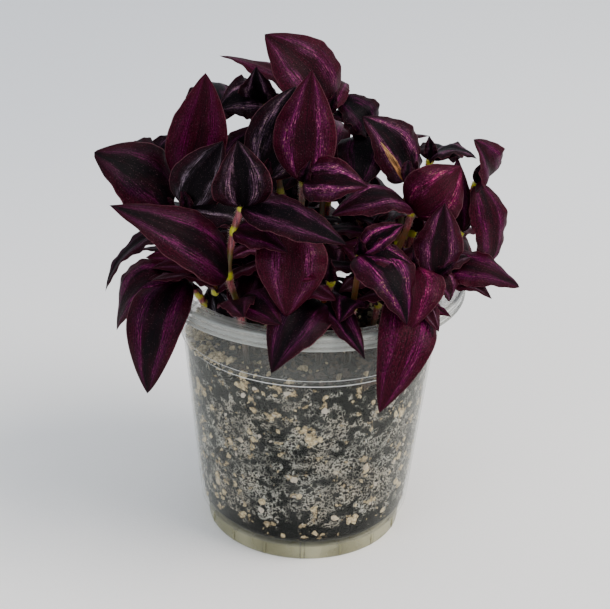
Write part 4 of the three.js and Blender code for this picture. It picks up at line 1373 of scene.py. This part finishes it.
# %% The tree that makes the soil
def soil_tree():
    board, wire = geometry_tree("soil", {"Wall bits": "Float", "Top bits": "Float", "Mix": MATERIAL,
                                         "Bit": MATERIAL})
    chunk_points, bare = board.add("GeometryNodeSeparateGeometry", {}, {
        "Geometry": wire["Geometry"], "Selection": named(board, "is_chunk") > 0.5},
        output=("Selection", "Inverted"))
    place = board.add("GeometryNodeInputPosition")
    normal = board.add("GeometryNodeInputNormal")
    x, y, upright = place.axis("X"), place.axis("Y"), normal.axis("Z")
    wall, top = abs(upright).fade(0.4, 0.6), upright.step(0.6, 0.8)
    # The column: its wall is pressed in here and there, and its top is crumbly.
    rough = board.noise(place, 420.0, 3.0, 0.6)
    push = wall * (rough.step(0.3, 0.7) - 1) * 0.55 * MM + top * (rough - 0.5) * 2.2 * MM
    column = coat(board, shift(board, bare, normal.scaled(push)), wire["Mix"])
    # Flat bits against the wall in patches, a heap at the brim on the left, loose bits on top.
    patches = board.noise(place, *CRUMBLES).step(0.59, 0.63, 0.02, 1.0)
    fewer = place.axis("Z").step(66 * MM, 84 * MM, 1.0, 0.5)
    at_wall, wall_turn = strewn(board, column, wall * patches * fewer * wire["Wall bits"], 11, (0.55, 1.0))
    flat = lumps(board, at_wall, *BITS["wall_size"], FLAT, wall_turn, 13)
    brim = (x * x + y * y).math("SQRT").step(43 * MM, 46 * MM) * upright.step(0.1, 0.3)
    heap = x.step(-46 * MM, -26 * MM, 4.5, 0.15) * y.step(0.0, 10 * MM, 1.0, 0.3)
    density = brim * (patches + 0.15) * heap * wire["Wall bits"]
    at_brim, _ = strewn(board, column, density, 31, (0.6, 1.0))
    on_top, _ = strewn(board, column, top * wire["Top bits"], 21, (0.0, 0.66))
    tumble = random_value(board, (0.0, 0.0, 0.0), (TURN, TURN, TURN), 23)
    loose = lumps(board, join(board, on_top, at_brim), *BITS["top_size"], LOOSE, tumble, 24)
    ball = board.add("GeometryNodeMeshIcoSphere", {}, {"Radius": 1.0, "Subdivisions": 4}, output="Mesh")
    heavy = set_on(board, chunk_points, ball, Rotation=board.xyz(0.0, 0.0, named(board, "spin")),
                   Scale=stretched(board, named(board, "size"), BIG))
    # Noise shoves the corners of all bits about, and the pot's wall holds them back.
    bits = real(board, join(board, flat, loose, heavy))
    shove = board.add("ShaderNodeTexNoise", {}, {"Vector": place, "Scale": 900.0, "Detail": 2.0},
                      output="Color")
    shove = shove.vector("SUBTRACT", (0.5, 0.5, 0.5)).scaled(SHOVE * MM)
    x, y, z = [place.vector("ADD", shove).axis(name) for name in "XYZ"]
    reach = (x * x + y * y).math("SQRT").at_least(1e-4)
    limit = (z / MM - WALL_Z) * WALL_SLOPE * MM + WALL_R * MM
    inward = (limit / reach).at_most(1.0)
    bits = coat(board, place_at(board, bits, board.xyz(x * inward, y * inward, z)), wire["Bit"])
    return end_tree(board, smooth(board, join(board, column, bits)))


print("the pot's wall holds the bits inside", WALL_R, "mm at a height of", WALL_Z, "mm")

# %% [markdown]
# The mix is nearly black. The squiggles are the places where a noise is close to its middle value:
# those places form thin winding lines, as contour lines on a map do. They are densest in the lower
# half of the wall, get sparser towards the top, and are missing in the wet band at the bottom.

# %% The soil's colours
def potting_mix():
    material, board = new_material("potting_mix")
    place = board.here()
    _, _, z, r = place.measured()
    clouds = board.noise(place, 55.0, 3.0)
    breaks = board.noise(place, 300.0)
    grain = board.noise(place, 1500.0, 4.0, 0.65)
    wall = r.step(39.0, 42.0) * z.fade(88.4, 89.4)
    # The mix itself, black against the wall under a haze of dust, brown on top.
    dark = board.mix(grain.step(0.3, 0.7), "#040505", "#151615")
    dust = z.step(48.0, 80.0, 0.1, 0.75) * clouds.step(0.3, 0.7, 0.35, 1.0) * z.step(8.0, 28.0)
    dark = board.mix(dust * grain.step(0.4, 0.7), dark, "#555650")
    crumbs = board.cells(place, 520.0, "Color").axis("X")
    top = board.mix(crumbs.step(0.55, 0.95), "#171311", "#4a3a2c")
    colour = board.mix(wall, top, dark)
    # The squiggles and specks, which break off here and there and are faint in places.
    amount = z.step(8.0, 28.0) * z.step(48.0, 88.0, 1.0, 0.55) * clouds.step(0.35, 0.62, 0.72, 1.0)
    lines = board.noise(place, 600.0, 2.2, 0.62).line(0.5, 0.008, 0.075)
    squiggles = lines * (breaks + amount * 0.34).step(0.68, 0.78)
    specks = board.cells(place, 800.0).fade(0.12, 0.3) * breaks.step(0.5, 0.6)
    faint = board.noise(place, 110.0).step(0.35, 0.62, 0.35, 0.9)
    pale = board.mix(clouds, "#acab9c", "#ebe9db")
    pale = board.mix(clouds.step(0.45, 0.65) * 0.45, pale, "#bfae92")
    mineral = (squiggles * faint + specks * amount * 0.5).at_most(1.0) * wall
    colour = board.mix(mineral, colour, pale)
    # Pale crumbs lie where the flat bits do.
    crumbling = board.noise(place, *CRUMBLES).step(0.6, 0.63)
    beige = board.mix(grain.step(0.35, 0.6), "#5c4a35", "#cdb98f")
    colour = board.mix(crumbling * wall * 0.9, colour, beige)
    wet = z.fade(9.0, 20.0)
    height = grain * 0.5 + crumbs * 0.5 + squiggles * wall + crumbling
    finish_shader(board, Base_Color=colour, Roughness=0.9 - wet * 0.4, Specular_IOR_Level=0.1,
                  Normal=bump(board, height, 0.5))
    return material


mix_paint = potting_mix()
print("potting mix:", len(mix_paint.node_tree.nodes), "nodes")

# %% The colours of the bits
def bark_bit():
    """A bit is dark bark where its tint is low, pale wood where it is high, and then perlite."""
    material, board = new_material("bark_bit")
    place, tint = board.here(), attribute(board, "tint")
    grain = board.noise(place, 900.0, 4.0, 0.6)
    pits = board.cells(place, 1300.0)
    bark = board.mix(grain.step(0.3, 0.7), "#1c1512", "#4b382a")
    pale = board.mix(grain.step(0.3, 0.7), "#8c7852", "#e6d5aa")
    pale = board.mix(tint.step(0.93, 0.97), pale, board.mix(grain, "#b9ac9c", "#ddd4c0"))
    colour = board.mix(tint.step(0.5, 0.6), bark, pale)
    colour = board.mix(pits.step(0.05, 0.25, 0.45, 0.0), colour, "#3b3026")
    finish_shader(board, Base_Color=colour, Roughness=0.85, Normal=bump(board, grain + pits * 0.5, 0.5))
    return material


bit_paint = bark_bit()
print("bits of bark:", len(bit_paint.node_tree.nodes), "nodes")

# %% Make the soil
CHUNK_TINT, CHUNK_TINT_STEP = 0.42, 0.04

plan = bpy.data.meshes.new("soil_plan")
plan.from_pydata([v.co for v in soil_mesh.vertices] + [spot * MM for spot, _, _ in chunks], [],
                 [p.vertices for p in soil_mesh.polygons])
write(plan, "is_chunk", [1.0] * CHUNKS)
write(plan, "size", [r * MM for _, r, _ in chunks])
write(plan, "spin", [spin for _, _, spin in chunks])
write(plan, "tint", [CHUNK_TINT + CHUNK_TINT_STEP * i for i in range(CHUNKS)])
soil_done = grow(soil_tree(), plan, {
    "Wall bits": BITS["wall_density"] / MM ** 2, "Top bits": BITS["top_density"] / MM ** 2,
    "Mix": mix_paint, "Bit": bit_paint})
as_piece(soil_done, "potting_soil", "soil", "soil")
print("soil:", len(soil_done.loop_triangles), "triangles")

# %% [markdown]
# ## Camera, floor and light
# The pot stands on a plain pale floor in soft daylight. One large soft light from the right and
# above gives the soft shadow to the left, a weaker one fills the front, and the pale surroundings
# light the rest. The camera looks down at the plant at the photograph's angle, and it is turned a
# little about its own axis, as it was for the photograph.

# %% Camera
TARGET = Vector((-0.002, 0.0, 0.1001))
DISTANCE = 0.6358
ELEVATION = 25.08
ROLL = 1.72
SENSOR = 36
PHOTO_FOCUS, PHOTO_WIDTH = 1500, 610

view = bpy.data.cameras.new("camera")
view.sensor_width = SENSOR
view.lens = SENSOR * PHOTO_FOCUS / PHOTO_WIDTH
view.clip_end = 50
camera = in_scene("camera", view)
back_off = look(-90, ELEVATION)
camera.location = TARGET + back_off * DISTANCE
camera.rotation_mode = "QUATERNION"
camera.rotation_quaternion = (-back_off).to_track_quat("-Z", "Y") @ Quaternion((0, 0, 1), radians(ROLL))
bpy.context.scene.camera = camera
print("camera at", [round(c, 3) for c in camera.location])

# %% Floor and surroundings
FLOOR_HALF = 6.0
DAYLIGHT, DAYLIGHT_STRENGTH = "#e4e9f0", 1.15


def floor_finish():
    material, board = new_material("floor_paint")
    ground = board.here()
    grain = board.noise(ground, 900.0, 4.0)
    # Painted light: the floor is painted lighter at the front, and at the back lighter to the right, where
    # the window's light falls.
    near = board.mix(grain, "#f6f5f2", "#fcfbf9")
    far = board.mix(ground.axis("X").step(-0.3, 0.4), "#eceff3", "#fcfdfd")
    finish_shader(board, Base_Color=board.mix(ground.axis("Y").step(0.0, 0.6), near, far),
                  Roughness=0.75, Normal=bump(board, grain, 0.1))
    return material


floor_mesh = bpy.data.meshes.new("floor")
floor_corners = ((-1, -1), (1, -1), (1, 1), (-1, 1))
floor_mesh.from_pydata([(x * FLOOR_HALF, y * FLOOR_HALF, 0) for x, y in floor_corners], [],
                       [(0, 1, 2, 3)])
floor_mesh.materials.append(floor_finish())
floor = in_scene("floor", floor_mesh)

world = bpy.data.worlds.new("surroundings")
world.use_nodes = True
sky = world.node_tree.nodes["Background"]
sky.inputs["Color"].default_value = paint(DAYLIGHT)
sky.inputs["Strength"].default_value = DAYLIGHT_STRENGTH
bpy.context.scene.world = world
print("floor", 2 * FLOOR_HALF, "m wide, daylight", DAYLIGHT)

# %% Lights
def soft_light(name, place, size, power, colour):
    lamp = bpy.data.lights.new(name, "AREA")
    lamp.shape = "DISK"
    lamp.size = size
    lamp.energy = power
    lamp.color = paint(colour)[:3]
    light = in_scene(name, lamp)
    light.location = place
    light.rotation_mode = "QUATERNION"
    light.rotation_quaternion = (TARGET - Vector(place)).to_track_quat("-Z", "Y")


soft_light("window", (0.9, -0.35, 1.25), 1.0, 24, "#fff6ee")
soft_light("fill", (-0.7, -1.1, 0.9), 1.0, 5, "#eef3ff")
print("two soft lights and pale surroundings")

# %% Finish
print("the scene is built")
